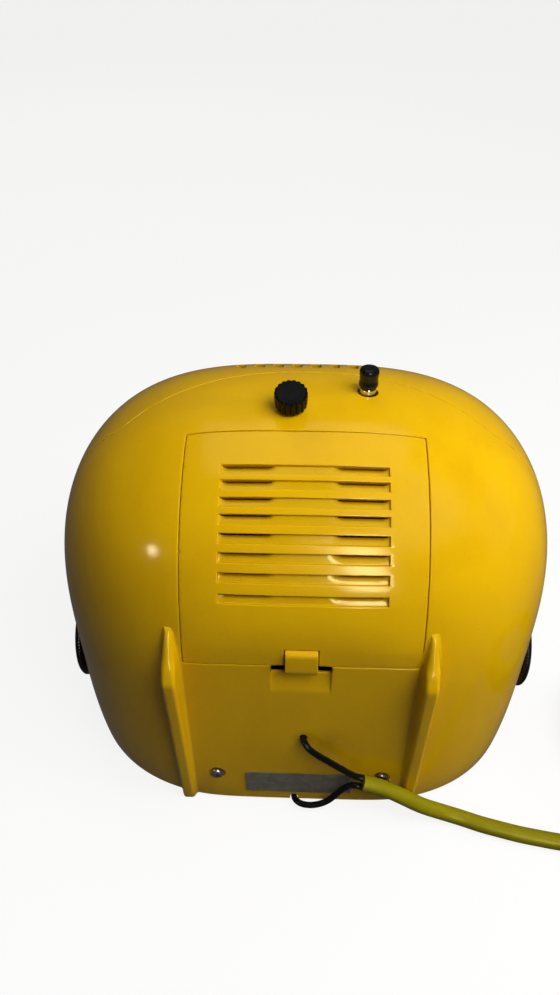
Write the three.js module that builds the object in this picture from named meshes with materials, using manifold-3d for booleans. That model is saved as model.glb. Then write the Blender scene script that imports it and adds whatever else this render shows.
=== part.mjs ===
// Small helmet-shaped portable television, millimetres, +Z up.
// +Y is the back of the set, the screen faces -Y, and Z = 0 is the surface it stands on.
import * as THREE from "three";
import { mergeVertices } from "three/addons/utils/BufferGeometryUtils.js";
import Module from "manifold-3d";

const wasm = await Module();
wasm.setup();

// ---------- driving dimensions ----------
const GAP = 0.3; // between neighbouring pieces
const WALL = 2.6; // moulded wall thickness
const RIM_Z = 1.2; // lower rim of the housing
// The housing: |x/HALF_W|^N_PLAN + |(y-CREST_Y)/DEPTH|^2 + |(z-BELT_Z)/RISE|^P = 1
const HALF_W = 110;
const CREST_Y = -21.5;
const DEPTH_BACK = 82.2;
const DEPTH_FRONT = 85.8;
const BELT_Z = 67.2;
const RISE_TOP = 104.1;
const RISE_LOW = 142.2;
const N_PLAN = 3.19;
const P_TOP = 2.83;
const P_LOW = 3.72;
const PANEL_Y = 57.1; // flat lower back panel
const SEAM_MID_Y = -41.6; // seam between the halves, at the middle of the top
const SEAM_SIDE_Y = -11.6; // the same seam at the sides
const SEAM_TURN_X = 75;
const MOVE_Y = 21.08; // brings the middle of the set to Y = 0

const DOOR_HALF_W = 45.6;
const DOOR_TOP_Y = 3.4;
const DOOR_LOW_Z = 95.9;
const DOOR_WALL = 2.8;
const LOUVRES = 8;
const LOUVRE_HALF_W = 31.1;
const LOUVRE_DEPTH = 1.2;

const RIB_X0 = 46.2;
const RIB_X1 = 52.6;

const KNOB_X = 5.9, KNOB_Y = -8.9, KNOB_D = 13.1, KNOB_H = 7.2, KNOB_FOOT_Z = 172.4;
const KNOB_TILT = (20 * Math.PI) / 180; // the control leans back
const AERIAL_X = -24.9, AERIAL_Y = -22.0, AERIAL_TOP_Z = 173.2;
const TUBE_OD = [6.8, 5.2, 3.6, 2.0], TUBE_ID = [5.8, 4.2, 2.6, 0];
const TUBE_LOW_Z = [56, 57.5, 59, 60.5];
const DIAL_R = 24, DIAL_Y = -22, DIAL_Z = 25.5, DIAL_X0 = 110.4, DIAL_X1 = 115.4;

const SCREEN_Z = 86;
const OPEN_W = 128, OPEN_H = 98, OPEN_R = 20;
const MASK_W = 106, MASK_H = 80, MASK_R = 14;

const LEAD_D = 2.8;
const CABLE_D = 7.0;
const COIL_X = -183.5, COIL_Y = 27.6, TURN_MID_R = 41.2;

// ---------- materials ----------
const mat = (hex, roughness, metalness = 0, extra = {}) =>
  new THREE.MeshStandardMaterial({ color: new THREE.Color(hex), roughness, metalness, ...extra });
const YELLOW = 0xe7ad00, BLACK = 0x101013, STEEL = 0xb9bcbc, BRIGHT = 0xd5d7d6;

const group = new THREE.Group();
group.name = "portable_television";

// ---------- helpers ----------
// One closed, outward-facing geometry with shared vertices.
function clean(g) {
  g = g.clone();
  for (const k of Object.keys(g.attributes)) if (k !== "position") g.deleteAttribute(k);
  g = mergeVertices(g, 1e-3);
  const p = g.attributes.position.array, src = g.index.array, out = [];
  let volume = 0;
  for (let i = 0; i < src.length; i += 3) {
    const a = src[i], b = src[i + 1], c = src[i + 2];
    if (a === b || b === c || a === c) continue;
    out.push(a, b, c);
    const [ax, ay, az, bx, by, bz, cx, cy, cz] = [a, b, c].flatMap((v) => [p[3 * v], p[3 * v + 1], p[3 * v + 2]]);
    volume += ax * (by * cz - bz * cy) + ay * (bz * cx - bx * cz) + az * (bx * cy - by * cx);
  }
  if (volume < 0) for (let i = 0; i < out.length; i += 3) [out[i + 1], out[i + 2]] = [out[i + 2], out[i + 1]];
  g.setIndex(out);
  return g;
}
function solid(g) {
  const c = clean(g);
  return new wasm.Manifold(
    new wasm.Mesh({
      numProp: 3,
      vertProperties: new Float32Array(c.attributes.position.array),
      triVerts: new Uint32Array(c.index.array),
    }),
  );
}
function shape(m) {
  const { vertProperties, triVerts, numProp } = m.getMesh();
  const pos = new Float32Array((vertProperties.length / numProp) * 3);
  for (let i = 0, j = 0; i < vertProperties.length; i += numProp, j += 3)
    pos.set([vertProperties[i], vertProperties[i + 1], vertProperties[i + 2]], j);
  const g = new THREE.BufferGeometry();
  g.setAttribute("position", new THREE.BufferAttribute(pos, 3));
  g.setIndex(Array.from(triVerts));
  return g;
}
function add(name, what, material) {
  const g = what instanceof THREE.BufferGeometry ? clean(what) : shape(what);
  g.translate(0, MOVE_Y, 0);
  g.computeVertexNormals();
  const mesh = new THREE.Mesh(g, material);
  mesh.name = name;
  group.add(mesh);
}
const box = (x0, x1, y0, y1, z0, z1) =>
  new THREE.BoxGeometry(x1 - x0, y1 - y0, z1 - z0).translate((x0 + x1) / 2, (y0 + y1) / 2, (z0 + z1) / 2);
// profile: [radius, height] pairs, turned about +Z
const turned = (profile, seg = 24) =>
  new THREE.LatheGeometry(profile.map(([r, z]) => new THREE.Vector2(Math.max(r, 0), z)), seg).rotateX(Math.PI / 2);
const rod = (r, z0, z1, seg = 20) => turned([[0, z0], [r, z0], [r, z1], [0, z1]], seg);
const pipe = (ri, ro, z0, z1, seg = 20) => turned([[ri, z0], [ro, z0], [ro, z1], [ri, z1], [ri, z0]], seg);
const alongY = (g) => g.rotateX(-Math.PI / 2); // +Z becomes +Y
const alongX = (g) => g.rotateY(Math.PI / 2); // +Z becomes +X
// outline in (y, z), extruded along X
function slabYZ(points, x0, x1) {
  const s = new THREE.Shape(points.map(([y, z]) => new THREE.Vector2(y, z)));
  const g = new THREE.ExtrudeGeometry(s, { depth: x1 - x0, bevelEnabled: false });
  // (x, y, z) -> (z, x, y)
  g.applyMatrix4(new THREE.Matrix4().set(0, 0, 1, x0, 1, 0, 0, 0, 0, 1, 0, 0, 0, 0, 0, 1));
  return g;
}
// outline in (x, y), extruded along Z
function slabXY(points, z0, z1) {
  const s = new THREE.Shape(points.map(([x, y]) => new THREE.Vector2(x, y)));
  return new THREE.ExtrudeGeometry(s, { depth: z1 - z0, bevelEnabled: false }).translate(0, 0, z0);
}
// rounded rectangle in (x, z), extruded along Y
function roundedXZ(w, h, r, y0, y1, zc, steps = 6) {
  const s = new THREE.Shape();
  const a = w / 2, b = h / 2;
  s.moveTo(-a + r, -b).lineTo(a - r, -b).absarc(a - r, -b + r, r, -Math.PI / 2, 0, false);
  s.lineTo(a, b - r).absarc(a - r, b - r, r, 0, Math.PI / 2, false);
  s.lineTo(-a + r, b).absarc(-a + r, b - r, r, Math.PI / 2, Math.PI, false);
  s.lineTo(-a, -b + r).absarc(-a + r, -b + r, r, Math.PI, 1.5 * Math.PI, false);
  const g = new THREE.ExtrudeGeometry(s, { depth: y1 - y0, bevelEnabled: false, curveSegments: steps });
  return g.applyMatrix4(new THREE.Matrix4().set(1, 0, 0, 0, 0, 0, -1, y1, 0, 1, 0, zc, 0, 0, 0, 1));
}
// closed loft of superellipse sections along Y
function loft(sections, zc, seg = 32) {
  const pos = [], idx = [];
  for (const [y, a, b, e] of sections)
    for (let i = 0; i < seg; i++) {
      const t = (2 * Math.PI * i) / seg, c = Math.cos(t), s = Math.sin(t);
      pos.push(a * Math.sign(c) * Math.abs(c) ** (2 / e), y, zc + b * Math.sign(s) * Math.abs(s) ** (2 / e));
    }
  for (let k = 0; k < sections.length - 1; k++)
    for (let i = 0; i < seg; i++) {
      const j = (i + 1) % seg, a = k * seg + i, b = k * seg + j, c = a + seg, d = b + seg;
      idx.push(a, c, b, b, c, d);
    }
  const n = sections.length;
  pos.push(0, sections[0][0], zc, 0, sections[n - 1][0], zc);
  for (let i = 0; i < seg; i++) {
    const j = (i + 1) % seg;
    idx.push(n * seg, i, j, n * seg + 1, (n - 1) * seg + j, (n - 1) * seg + i);
  }
  const g = new THREE.BufferGeometry();
  g.setAttribute("position", new THREE.Float32BufferAttribute(pos, 3));
  g.setIndex(idx);
  return g;
}
// tube of a round section along a smooth curve through points
function tube(points, d, sides, steps) {
  const curve = new THREE.CatmullRomCurve3(points.map((p) => new THREE.Vector3(...p)), false, "centripetal");
  const s = new THREE.Shape();
  for (let i = 0; i < sides; i++) {
    const t = (2 * Math.PI * i) / sides;
    if (i) s.lineTo((d / 2) * Math.cos(t), (d / 2) * Math.sin(t));
    else s.moveTo(d / 2, 0);
  }
  s.closePath();
  return new THREE.ExtrudeGeometry(s, { steps, bevelEnabled: false, extrudePath: curve });
}

// ---------- the housing's form ----------
const QUARTER = 12;
const unit = (() => {
  const at = (t) => [Math.cos(t) ** (2 / N_PLAN), Math.sin(t)];
  const dense = [];
  for (let i = 0; i <= 4000; i++) dense.push(at((Math.PI / 2) * (i / 4000)));
  const len = [0];
  for (let i = 1; i < dense.length; i++)
    len.push(len[i - 1] + Math.hypot((dense[i][0] - dense[i - 1][0]) * HALF_W, (dense[i][1] - dense[i - 1][1]) * DEPTH_BACK));
  const q = [];
  for (let k = 0; k <= QUARTER; k++) {
    const want = (len[len.length - 1] * k) / QUARTER;
    let i = len.findIndex((v) => v >= want);
    if (k === 0) i = 0;
    q.push(k === QUARTER ? [0, 1] : dense[i]);
  }
  return q;
})();
const ring = [];
for (let k = 0; k < QUARTER; k++) ring.push([unit[k][0], unit[k][1]]);
for (let k = QUARTER; k > 0; k--) ring.push([-unit[k][0], unit[k][1]]);
for (let k = 0; k < QUARTER; k++) ring.push([-unit[k][0], -unit[k][1]]);
for (let k = QUARTER; k > 0; k--) ring.push([unit[k][0], -unit[k][1]]);
const LEVELS = [0.96, 0.84, 0.67, 0.49, 0.32, 0.18, 0.085, 0.028, 0.004];

// The housing's form, moved in by t, closed at its foot at height z0.
function form(t, z0) {
  const A = HALF_W - t, B = DEPTH_BACK - t, F = DEPTH_FRONT - t, C = RISE_TOP - t, L = RISE_LOW - t;
  const levels = [];
  for (const z of [z0, 20, 44, BELT_Z])
    if (z === z0 || z > z0 + 1) levels.push([z, 1 - (Math.abs(z - BELT_Z) / L) ** P_LOW]);
  for (const k of LEVELS) levels.push([BELT_Z + C * (1 - k) ** (1 / P_TOP), k]);
  const pos = [], idx = [], n = ring.length;
  for (const [z, k] of levels)
    for (const [u, v] of ring)
      pos.push(A * k ** (1 / N_PLAN) * u, CREST_Y + (v > 0 ? B : F) * Math.sqrt(k) * v, z);
  for (let l = 0; l < levels.length - 1; l++)
    for (let i = 0; i < n; i++) {
      const j = (i + 1) % n, a = l * n + i, b = l * n + j, c = a + n, d = b + n;
      idx.push(a, b, d, a, d, c);
    }
  pos.push(0, CREST_Y, z0, 0, CREST_Y, BELT_Z + C);
  const foot = levels.length * n, tip = foot + 1, last = (levels.length - 1) * n;
  for (let i = 0; i < n; i++) {
    const j = (i + 1) % n;
    idx.push(foot, j, i, tip, last + i, last + j);
  }
  const g = new THREE.BufferGeometry();
  g.setAttribute("position", new THREE.Float32BufferAttribute(pos, 3));
  g.setIndex(idx);
  return solid(g);
}
const inFront = (y) => solid(box(-200, 200, -200, y, -20, 220));
// the housing's form with its flat lower back
const body = (t, z0 = RIM_Z) => form(t, z0).intersect(inFront(PANEL_Y - t));

// everything behind the seam, moved back by g
function behindSeam(g) {
  const pts = [];
  for (let x = -SEAM_TURN_X; x <= SEAM_TURN_X; x += 12.5)
    pts.push([x, SEAM_MID_Y + (SEAM_SIDE_Y - SEAM_MID_Y) * (1 - Math.cos((Math.PI * x) / (2 * SEAM_TURN_X))) + g]);
  return solid(slabXY([[-200, SEAM_SIDE_Y + g], ...pts, [200, SEAM_SIDE_Y + g], [200, 200], [-200, 200]], -30, 220));
}

const outer = body(0);
const inner = body(WALL, -10);
const hollow = outer.subtract(inner);

// ---------- rear shell ----------
const doorCut = solid(box(-DOOR_HALF_W - 0.35, DOOR_HALF_W + 0.35, DOOR_TOP_Y - 0.35, 90, DOOR_LOW_Z - 0.35, 220));
let rear = hollow.intersect(behindSeam(0.15)).subtract(doorCut);
// ledge that the door closes onto
{
  const deep = body(5.2, -10);
  const around = solid(box(-49, 49, 0.5, 90, 92.6, 220)).subtract(solid(box(-42.4, 42.4, 7.5, 90, 99.5, 220)));
  const root = body(2.0, -10).subtract(deep).intersect(around).subtract(solid(box(-46.4, 46.4, 2.6, 90, 95.1, 220)));
  const shelf = body(3.2, -10).subtract(deep).intersect(around);
  rear = rear.add(root).add(shelf);
}
// two upright ribs
const ribLine = [
  [55.2, 1.2], [58.0, 1.2], [58.6, 3.0], [60.9, 32.0], [63.2, 62.0], [64.6, 86.0], [64.9, 91.0], [64.6, 94.2],
  [63.2, 97.6], [56.8, 108.8], [55.0, 111.2], [52.9, 112.2], [52.6, 110.5], [54.0, 100.0], [55.2, 93.0],
];
rear = rear.add(solid(slabYZ(ribLine, RIB_X0 + 1.2, RIB_X1 + 1.2))).add(solid(slabYZ(ribLine, -RIB_X1, -RIB_X0)));
// finger recess and the slot that the latch sits in
rear = rear
  .subtract(solid(slabYZ([[58, 80.2], [57.1, 80.5], [55.5, 90.5], [58, 90.5]], -11.6, 11.6)))
  .subtract(solid(box(-11.9, 11.9, 40, 60, 90.4, DOOR_LOW_Z)));
// screw seats and holes, the two holes for the leads
const SCREW_X = 36.6, SCREW_Z = 20.7;
for (const s of [-1, 1])
  rear = rear
    .subtract(solid(alongY(rod(3.8, 0, 5)).translate(s * SCREW_X, PANEL_Y - 0.9, SCREW_Z)))
    .subtract(solid(alongY(rod(1.8, -10, 5)).translate(s * SCREW_X, PANEL_Y, SCREW_Z)));
rear = rear
  .subtract(solid(alongY(rod(1.75, -8, 5, 16)).translate(-1.4, PANEL_Y, 49.4)))
  .subtract(solid(alongY(rod(1.75, -8, 5, 16)).translate(2.1, PANEL_Y, 3.4)))
  .subtract(solid(box(0.35, 3.85, 50, 62, -2, 3.4)));
// holes for the top control and the aerial
rear = rear
  .subtract(solid(rod(2.0, -14, 8, 16).rotateX(-KNOB_TILT).translate(KNOB_X, KNOB_Y, KNOB_FOOT_Z)))
  .subtract(solid(rod(4.3, 150, 180).translate(AERIAL_X, AERIAL_Y, 0)));
add("rear_shell", rear, mat(YELLOW, 0.22));

// ---------- front shell ----------
let front = hollow.subtract(behindSeam(-0.15));
front = front.subtract(solid(roundedXZ(OPEN_W, OPEN_H, OPEN_R, -130, -45, SCREEN_Z)));
for (const [y, z] of [[-54, 165], [-66.5, 160]])
  for (let i = 0; i < 8; i++) {
    const x = (i - 3.5) * 8.3;
    front = front.subtract(solid(box(x - 2.3, x + 2.3, y - 4.6, y + 4.6, z - 25, 190)));
  }
for (const s of [-1, 1])
  front = front.subtract(solid(alongX(rod(3.4, 90, 120)).scale(s, 1, 1).translate(0, DIAL_Y, DIAL_Z)));
add("front_shell", front, mat(YELLOW, 0.22));

// ---------- rear door and latch ----------
{
  const doorBox = solid(box(-DOOR_HALF_W, DOOR_HALF_W, DOOR_TOP_Y, 90, DOOR_LOW_Z, 220));
  let door = body(0).subtract(body(DOOR_WALL, -10)).intersect(doorBox);
  // grooves down the curved middle line, a little closer together near the top
  const EARLY = [0.38, 1.23, 1.56, 2.2, 2.2, 2.2, 1.84, 0.74];
  const line = [];
  for (let y = 8; y <= 56; y += 0.05) {
    const k = 1 - ((y - CREST_Y) / DEPTH_BACK) ** 2 - (LOUVRE_HALF_W / HALF_W) ** N_PLAN;
    line.push([y, BELT_Z + RISE_TOP * k ** (1 / P_TOP)]);
  }
  const len = [0];
  for (let i = 1; i < line.length; i++) len.push(len[i - 1] + Math.hypot(line[i][0] - line[i - 1][0], line[i][1] - line[i - 1][1]));
  const start = len[line.findIndex(([y]) => y >= 17.8)], end = len[line.findIndex(([y]) => y >= 52.4)];
  const GROOVE = 3.6, pitch = (end - start - GROOVE) / (LOUVRES - 1);
  const at = (s) => {
    const i = Math.max(1, len.findIndex((v) => v >= s));
    const [y, z] = line[i], [y0, z0] = line[i - 1], l = Math.hypot(y - y0, z - z0);
    return { y, z, ty: (y - y0) / l, tz: (z - z0) / l };
  };
  let grooves = null, slits = null;
  for (let i = 0; i < LOUVRES; i++) {
    const p = at(start + i * pitch - EARLY[i] + GROOVE / 2);
    const angle = Math.atan2(p.tz, p.ty);
    const place = (g) => g.rotateX(angle).translate(0, p.y, p.z);
    const cut = solid(place(box(-LOUVRE_HALF_W, LOUVRE_HALF_W, -GROOVE / 2, GROOVE / 2, -4, 4)));
    grooves = grooves ? grooves.add(cut) : cut;
    for (const s of [-1, 1]) {
      const x0 = s > 0 ? 12.2 : -30.6;
      const slit = solid(place(box(x0, x0 + 18.4, -GROOVE / 2 + 0.05, -GROOVE / 2 + 0.6, -7, 4)));
      slits = slits ? slits.add(slit) : slit;
    }
  }
  door = door.subtract(grooves.subtract(form(LOUVRE_DEPTH, -10))).subtract(slits);
  door = door.subtract(solid(box(-6.7, 6.7, 40, 70, 90, 104.9)));
  add("rear_door", door, mat(YELLOW, 0.22));
  add(
    "door_latch",
    slabYZ(
      [[54.6, 104.4], [57.0, 104.5], [58.4, 103.9], [59.0, 102.6], [59.2, 98.0], [59.2, 94.6], [58.8, 93.0], [57.9, 92.1],
       [56.8, 92.0], [56.1, 92.6], [56.0, 95.0], [55.6, 98.6], [54.6, 100.2]],
      -6.3, 6.3),
    mat(YELLOW, 0.22),
  );
}

// ---------- top knob and its control ----------
{
  const s = new THREE.Shape();
  const flutes = 18;
  for (let i = 0; i < flutes * 2; i++) {
    const t = (2 * Math.PI * i) / (flutes * 2), r = KNOB_D / 2 - (i % 2 === 0 ? 0.5 : 0);
    if (i) s.lineTo(r * Math.cos(t), r * Math.sin(t));
    else s.moveTo(r, 0);
  }
  s.closePath();
  const skirt = solid(new THREE.ExtrudeGeometry(s, { depth: KNOB_H - 0.9, bevelEnabled: false }));
  const cap = solid(turned([[0, KNOB_H - 1.4], [KNOB_D / 2 - 0.5, KNOB_H - 1.4], [KNOB_D / 2 - 0.5, KNOB_H - 0.7], [KNOB_D / 2 - 1.2, KNOB_H], [0, KNOB_H]], 28));
  const knob = skirt.add(cap).subtract(solid(rod(1.5, -1, 5, 16)));
  const lean = (g) => g.rotateX(-KNOB_TILT).translate(KNOB_X, KNOB_Y, KNOB_FOOT_Z);
  add("top_knob", lean(shape(knob)), mat(BLACK, 0.4));
  add("top_shaft", lean(rod(1.2, -7.3, 4.6, 16)), mat(STEEL, 0.35, 0.9));
  add("top_control", lean(turned([[0, -17.1], [8, -17.1], [8, -9.6], [3.4, -9.6], [3.4, -7.6], [0, -7.6]], 20)), mat(0x2a2724, 0.6));
}

// ---------- telescopic aerial ----------
add("aerial_guide", turned([[3.7, 52], [4.5, 52], [4.5, 166.6], [3.7, 166.6], [3.7, 52]], 16).translate(AERIAL_X, AERIAL_Y, 0), mat(0x1b1b1d, 0.6));
for (let i = 0; i < 4; i++) {
  const ro = TUBE_OD[i] / 2, ri = TUBE_ID[i] / 2, z0 = TUBE_LOW_Z[i], z1 = AERIAL_TOP_Z + (i === 3 ? 5.4 : 0);
  const at = (g) => g.translate(AERIAL_X, AERIAL_Y, 0);
  add(`aerial_section_${i + 1}`, at(ri ? pipe(ri, ro, z0, z1, 16) : rod(ro, z0, z1, 12)), mat(BRIGHT, 0.18, 1));
}
add(
  "aerial_cap",
  turned([[1.3, 173.6], [3.7, 173.6], [4.0, 174.6], [3.75, 177.0], [4.0, 180.0], [3.6, 181.4], [2.4, 182.0], [0, 182.1], [0, 179.0], [1.3, 179.0], [1.3, 173.6]], 24)
    .translate(AERIAL_X, AERIAL_Y, 0),
  mat(BLACK, 0.3),
);

// ---------- side dials, their shafts and controls ----------
for (const [side, s] of [["left", 1], ["right", -1]]) {
  const place = (g) => {
    g.rotateY(Math.PI / 2);
    if (s < 0) g.scale(-1, 1, 1);
    return g.translate(0, DIAL_Y, DIAL_Z);
  };
  add(
    `side_dial_${side}`,
    place(turned([[2.4, DIAL_X0 + 0.2], [DIAL_R - 1.2, DIAL_X0], [DIAL_R - 0.2, DIAL_X0 + 0.5], [DIAL_R, DIAL_X0 + 1.6], [DIAL_R - 0.9, DIAL_X0 + 3.0],
      [DIAL_R - 4, DIAL_X0 + 4.1], [DIAL_R - 12, DIAL_X0 + 4.8], [0, DIAL_X1], [0, DIAL_X0 + 3.2], [2.4, DIAL_X0 + 3.2], [2.4, DIAL_X0 + 0.2]], 32)),
    mat(BLACK, 0.3),
  );
  add(`side_shaft_${side}`, place(rod(2.1, 102.3, DIAL_X0 + 2.8, 16)), mat(STEEL, 0.35, 0.9));
}
add("tuner_can", box(74, 102, -38, -6, 22, 44), mat(0xa9abaa, 0.4, 0.8));
add("volume_control", turned([[0, 90], [9.5, 90], [9.5, 99.5], [4, 99.5], [4, 102], [0, 102]], 20).rotateY(-Math.PI / 2).translate(0, DIAL_Y, DIAL_Z), mat(0x2a2724, 0.6));

// ---------- rear screws ----------
for (const [side, s] of [["left", 1], ["right", -1]]) {
  let screw = solid(alongY(turned([[0, -14], [1.4, -14], [1.4, 0], [3.1, 0], [3.1, 0.9], [2.5, 1.7], [1.3, 2.1], [0, 2.1]], 20)));
  screw = screw.subtract(solid(box(-1.7, 1.7, 0.9, 4, -0.35, 0.35))).subtract(solid(box(-0.35, 0.35, 0.9, 4, -1.7, 1.7)));
  add(`rear_screw_${side}`, shape(screw).translate(s * SCREW_X, PANEL_Y - 0.6, SCREW_Z), mat(STEEL, 0.3, 1));
}
add("label_plate", box(-23.7, 23.8, PANEL_Y + 0.3, PANEL_Y + 0.6, 7.9, 22.7), mat(0x8d8a80, 0.4, 0.5));

// ---------- front: surround, window, picture tube ----------
{
  const ringOut = solid(roundedXZ(OPEN_W - 0.7, OPEN_H - 0.7, OPEN_R - 0.35, -130, -83, SCREEN_Z));
  const ringIn = solid(roundedXZ(MASK_W, MASK_H, MASK_R, -140, -70, SCREEN_Z));
  add("screen_surround", ringOut.intersect(form(0.8, -5)).subtract(ringIn), mat(BLACK, 0.45));
  const pane = solid(roundedXZ(MASK_W - 0.6, MASK_H - 0.6, MASK_R - 0.3, -130, -70, SCREEN_Z));
  add("screen_window", pane.intersect(form(3.5, -5)).subtract(form(6.0, -8)), mat(0x2b2d30, 0.08, 0, { transparent: true, opacity: 0.45 }));
  add(
    "picture_tube",
    loft([
      [-88.4, 16, 12, 2.2], [-87.6, 32, 25, 2.6], [-85.4, 47, 36.5, 3.4], [-82.6, 52.6, 40.6, 4.2], [-80.4, 54.6, 42.6, 5],
      [-78.5, 55, 43, 5], [-65.5, 55, 43, 5], [-60, 50, 39, 4], [-48, 30, 25, 2.4], [-38, 16.5, 15.5, 2], [-33, 11.5, 11.5, 2], [-30, 10, 10, 2],
      [25, 10, 10, 2], [26, 9, 9, 2],
    ], SCREEN_Z, 28),
    mat(0x3a3f3d, 0.12),
  );
  const bandOut = loft([[-78, 57.4, 45.4, 5], [-66, 57.4, 45.4, 5]], SCREEN_Z, 28), bandIn = loft([[-80, 55.5, 43.5, 5], [-64, 55.5, 43.5, 5]], SCREEN_Z, 28);
  add("tube_band", solid(bandOut).subtract(solid(bandIn)), mat(0x9a9c9c, 0.45, 0.8));
  add("yoke_core", turned([[28.5, 0], [31.5, 0], [31.5, 6], [23, 15], [23, 18.2], [20, 18.2], [20, 15], [28.5, 5.5], [28.5, 0]], 20).rotateX(-Math.PI / 2).translate(0, -45.5, SCREEN_Z), mat(0x3c3835, 0.7));
  add("yoke_coil", turned([[12.2, 26], [12.2, 14.6], [19.4, 9.2], [26.6, 2.2], [28.0, 3.2], [28.0, 5.2], [19.6, 15.2], [19.6, 22.2], [16.0, 26], [12.2, 26]], 20).rotateX(-Math.PI / 2).translate(0, -45.5, SCREEN_Z), mat(0x9c4a1e, 0.5));
  add("tube_socket", turned([[0, 26.4], [13, 26.4], [13, 31.5], [0, 31.5]], 24).rotateX(-Math.PI / 2).translate(0, 0, SCREEN_Z), mat(0xded8c6, 0.6));
  add("socket_board", box(-19, 19, 31.9, 33.5, SCREEN_Z - 19, SCREEN_Z + 18), mat(0x8a6a35, 0.6));
}

// ---------- loudspeaker under the top vents ----------
{
  const tilt = (g) => g.rotateX((24 * Math.PI) / 180).translate(0, -54.2, 150.5);
  add("speaker_basket", tilt(turned([[8, -9], [9, -9], [22.6, -1], [25, -1], [25, 0.6], [21.6, 0.6], [8, -7.6], [8, -9]], 20)), mat(0x77797a, 0.5, 0.7));
  add("speaker_cone", tilt(turned([[0, -5.6], [6, -5.6], [8.4, -6.6], [21.0, 0.7], [24.4, 1.0], [24.4, 1.8], [20.6, 1.8], [8, -5.6], [5, -4], [0, -3.4]], 20)), mat(0x1d1c1b, 0.85));
  add("speaker_magnet", tilt(rod(12.5, -16.4, -9.4, 24)), mat(0x3a3a3c, 0.5, 0.4));
}

// ---------- bottom plate, feet, boards and transformers ----------
{
  const plate = form(WALL + 0.4, -10).intersect(inFront(PANEL_Y - WALL - 0.4)).intersect(solid(box(-150, 150, -150, 100, 3.0, 5.4)));
  let base = plate;
  for (const s of [-1, 1])
    base = base
      .add(solid(box(s * SCREW_X - 4.2, s * SCREW_X + 4.2, 45, 53.2, 5.2, 26)))
      .subtract(solid(alongY(rod(1.75, 40, 60, 16)).translate(s * SCREW_X, 0, SCREW_Z)));
  base = base.subtract(solid(box(-0.4, 4.6, 42, 60, 0, 8)));
  for (const [x, y] of [[-38, -54], [62, -54], [-38, 30], [62, 30]]) base = base.add(solid(rod(3, 5.2, 11.7, 12).translate(x, y, 0)));
  add("bottom_plate", base, mat(0x17171a, 0.55));
}
const feet = [[-62, -72], [62, -72], [-62, 28], [62, 28]];
feet.forEach(([x, y], i) =>
  add(`foot_${i + 1}`, turned([[0, 0], [6.2, 0], [7, 0.8], [7, 2.7], [0, 2.7]], 16).translate(x, y, 0), mat(0x1a1a1a, 0.9)));
add("main_board", box(-42, 66, -58, 34, 12, 13.6), mat(0x6f5526, 0.6));
add("line_transformer_coil", pipe(5.6, 13, 15.0, 35, 24).translate(46, 8, 0), mat(0x7a1f16, 0.45));
add("line_transformer_core", solid(rod(5.2, 13.9, 41, 16).translate(46, 8, 0)).add(solid(box(41, 66, 3, 13, 36, 41))).add(solid(box(60.2, 66, 3, 13, 13.9, 41))), mat(0x35312e, 0.7));
for (const [i, x, y, r, h] of [[1, 4, -40, 8, 22], [2, 25, -38, 6.5, 18], [3, -22, -34, 6.5, 20]])
  add(`capacitor_${i}`, rod(r, 13.9, 13.9 + h, 14).translate(x, y, 0), mat(0x20486f, 0.4));
{
  const cx = -72, cy = 4, z0 = 5.7;
  let core = solid(box(cx - 18, cx + 18, cy - 9, cy + 9, z0, z0 + 30));
  core = core.subtract(solid(box(cx + 4.5, cx + 13.5, cy - 20, cy + 20, z0 + 6, z0 + 24))).subtract(solid(box(cx - 13.5, cx - 4.5, cy - 20, cy + 20, z0 + 6, z0 + 24)));
  add("mains_transformer_core", core, mat(0x55585b, 0.5, 0.7));
  const coil = solid(box(cx - 13.2, cx + 13.2, cy - 14, cy + 14, z0 + 6.3, z0 + 23.7)).subtract(solid(box(cx - 4.8, cx + 4.8, cy - 9.3, cy + 9.3, z0, z0 + 30)));
  add("mains_transformer_coil", coil, mat(0xa8591f, 0.5));
}
// preset board behind the door
add("preset_board", box(-36, 36, 4, 42, 107, 108.6), mat(0x8a6a35, 0.6));
for (let i = 0; i < 3; i++)
  add(`preset_control_${i + 1}`, turned([[0, 108.9], [5, 108.9], [5, 114], [2.2, 114], [2.2, 116.4], [0, 116.4]], 12).translate(-20 + 20 * i, 26, 0), mat(i === 1 ? 0xb7ae97 : 0x26262a, 0.5));

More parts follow.
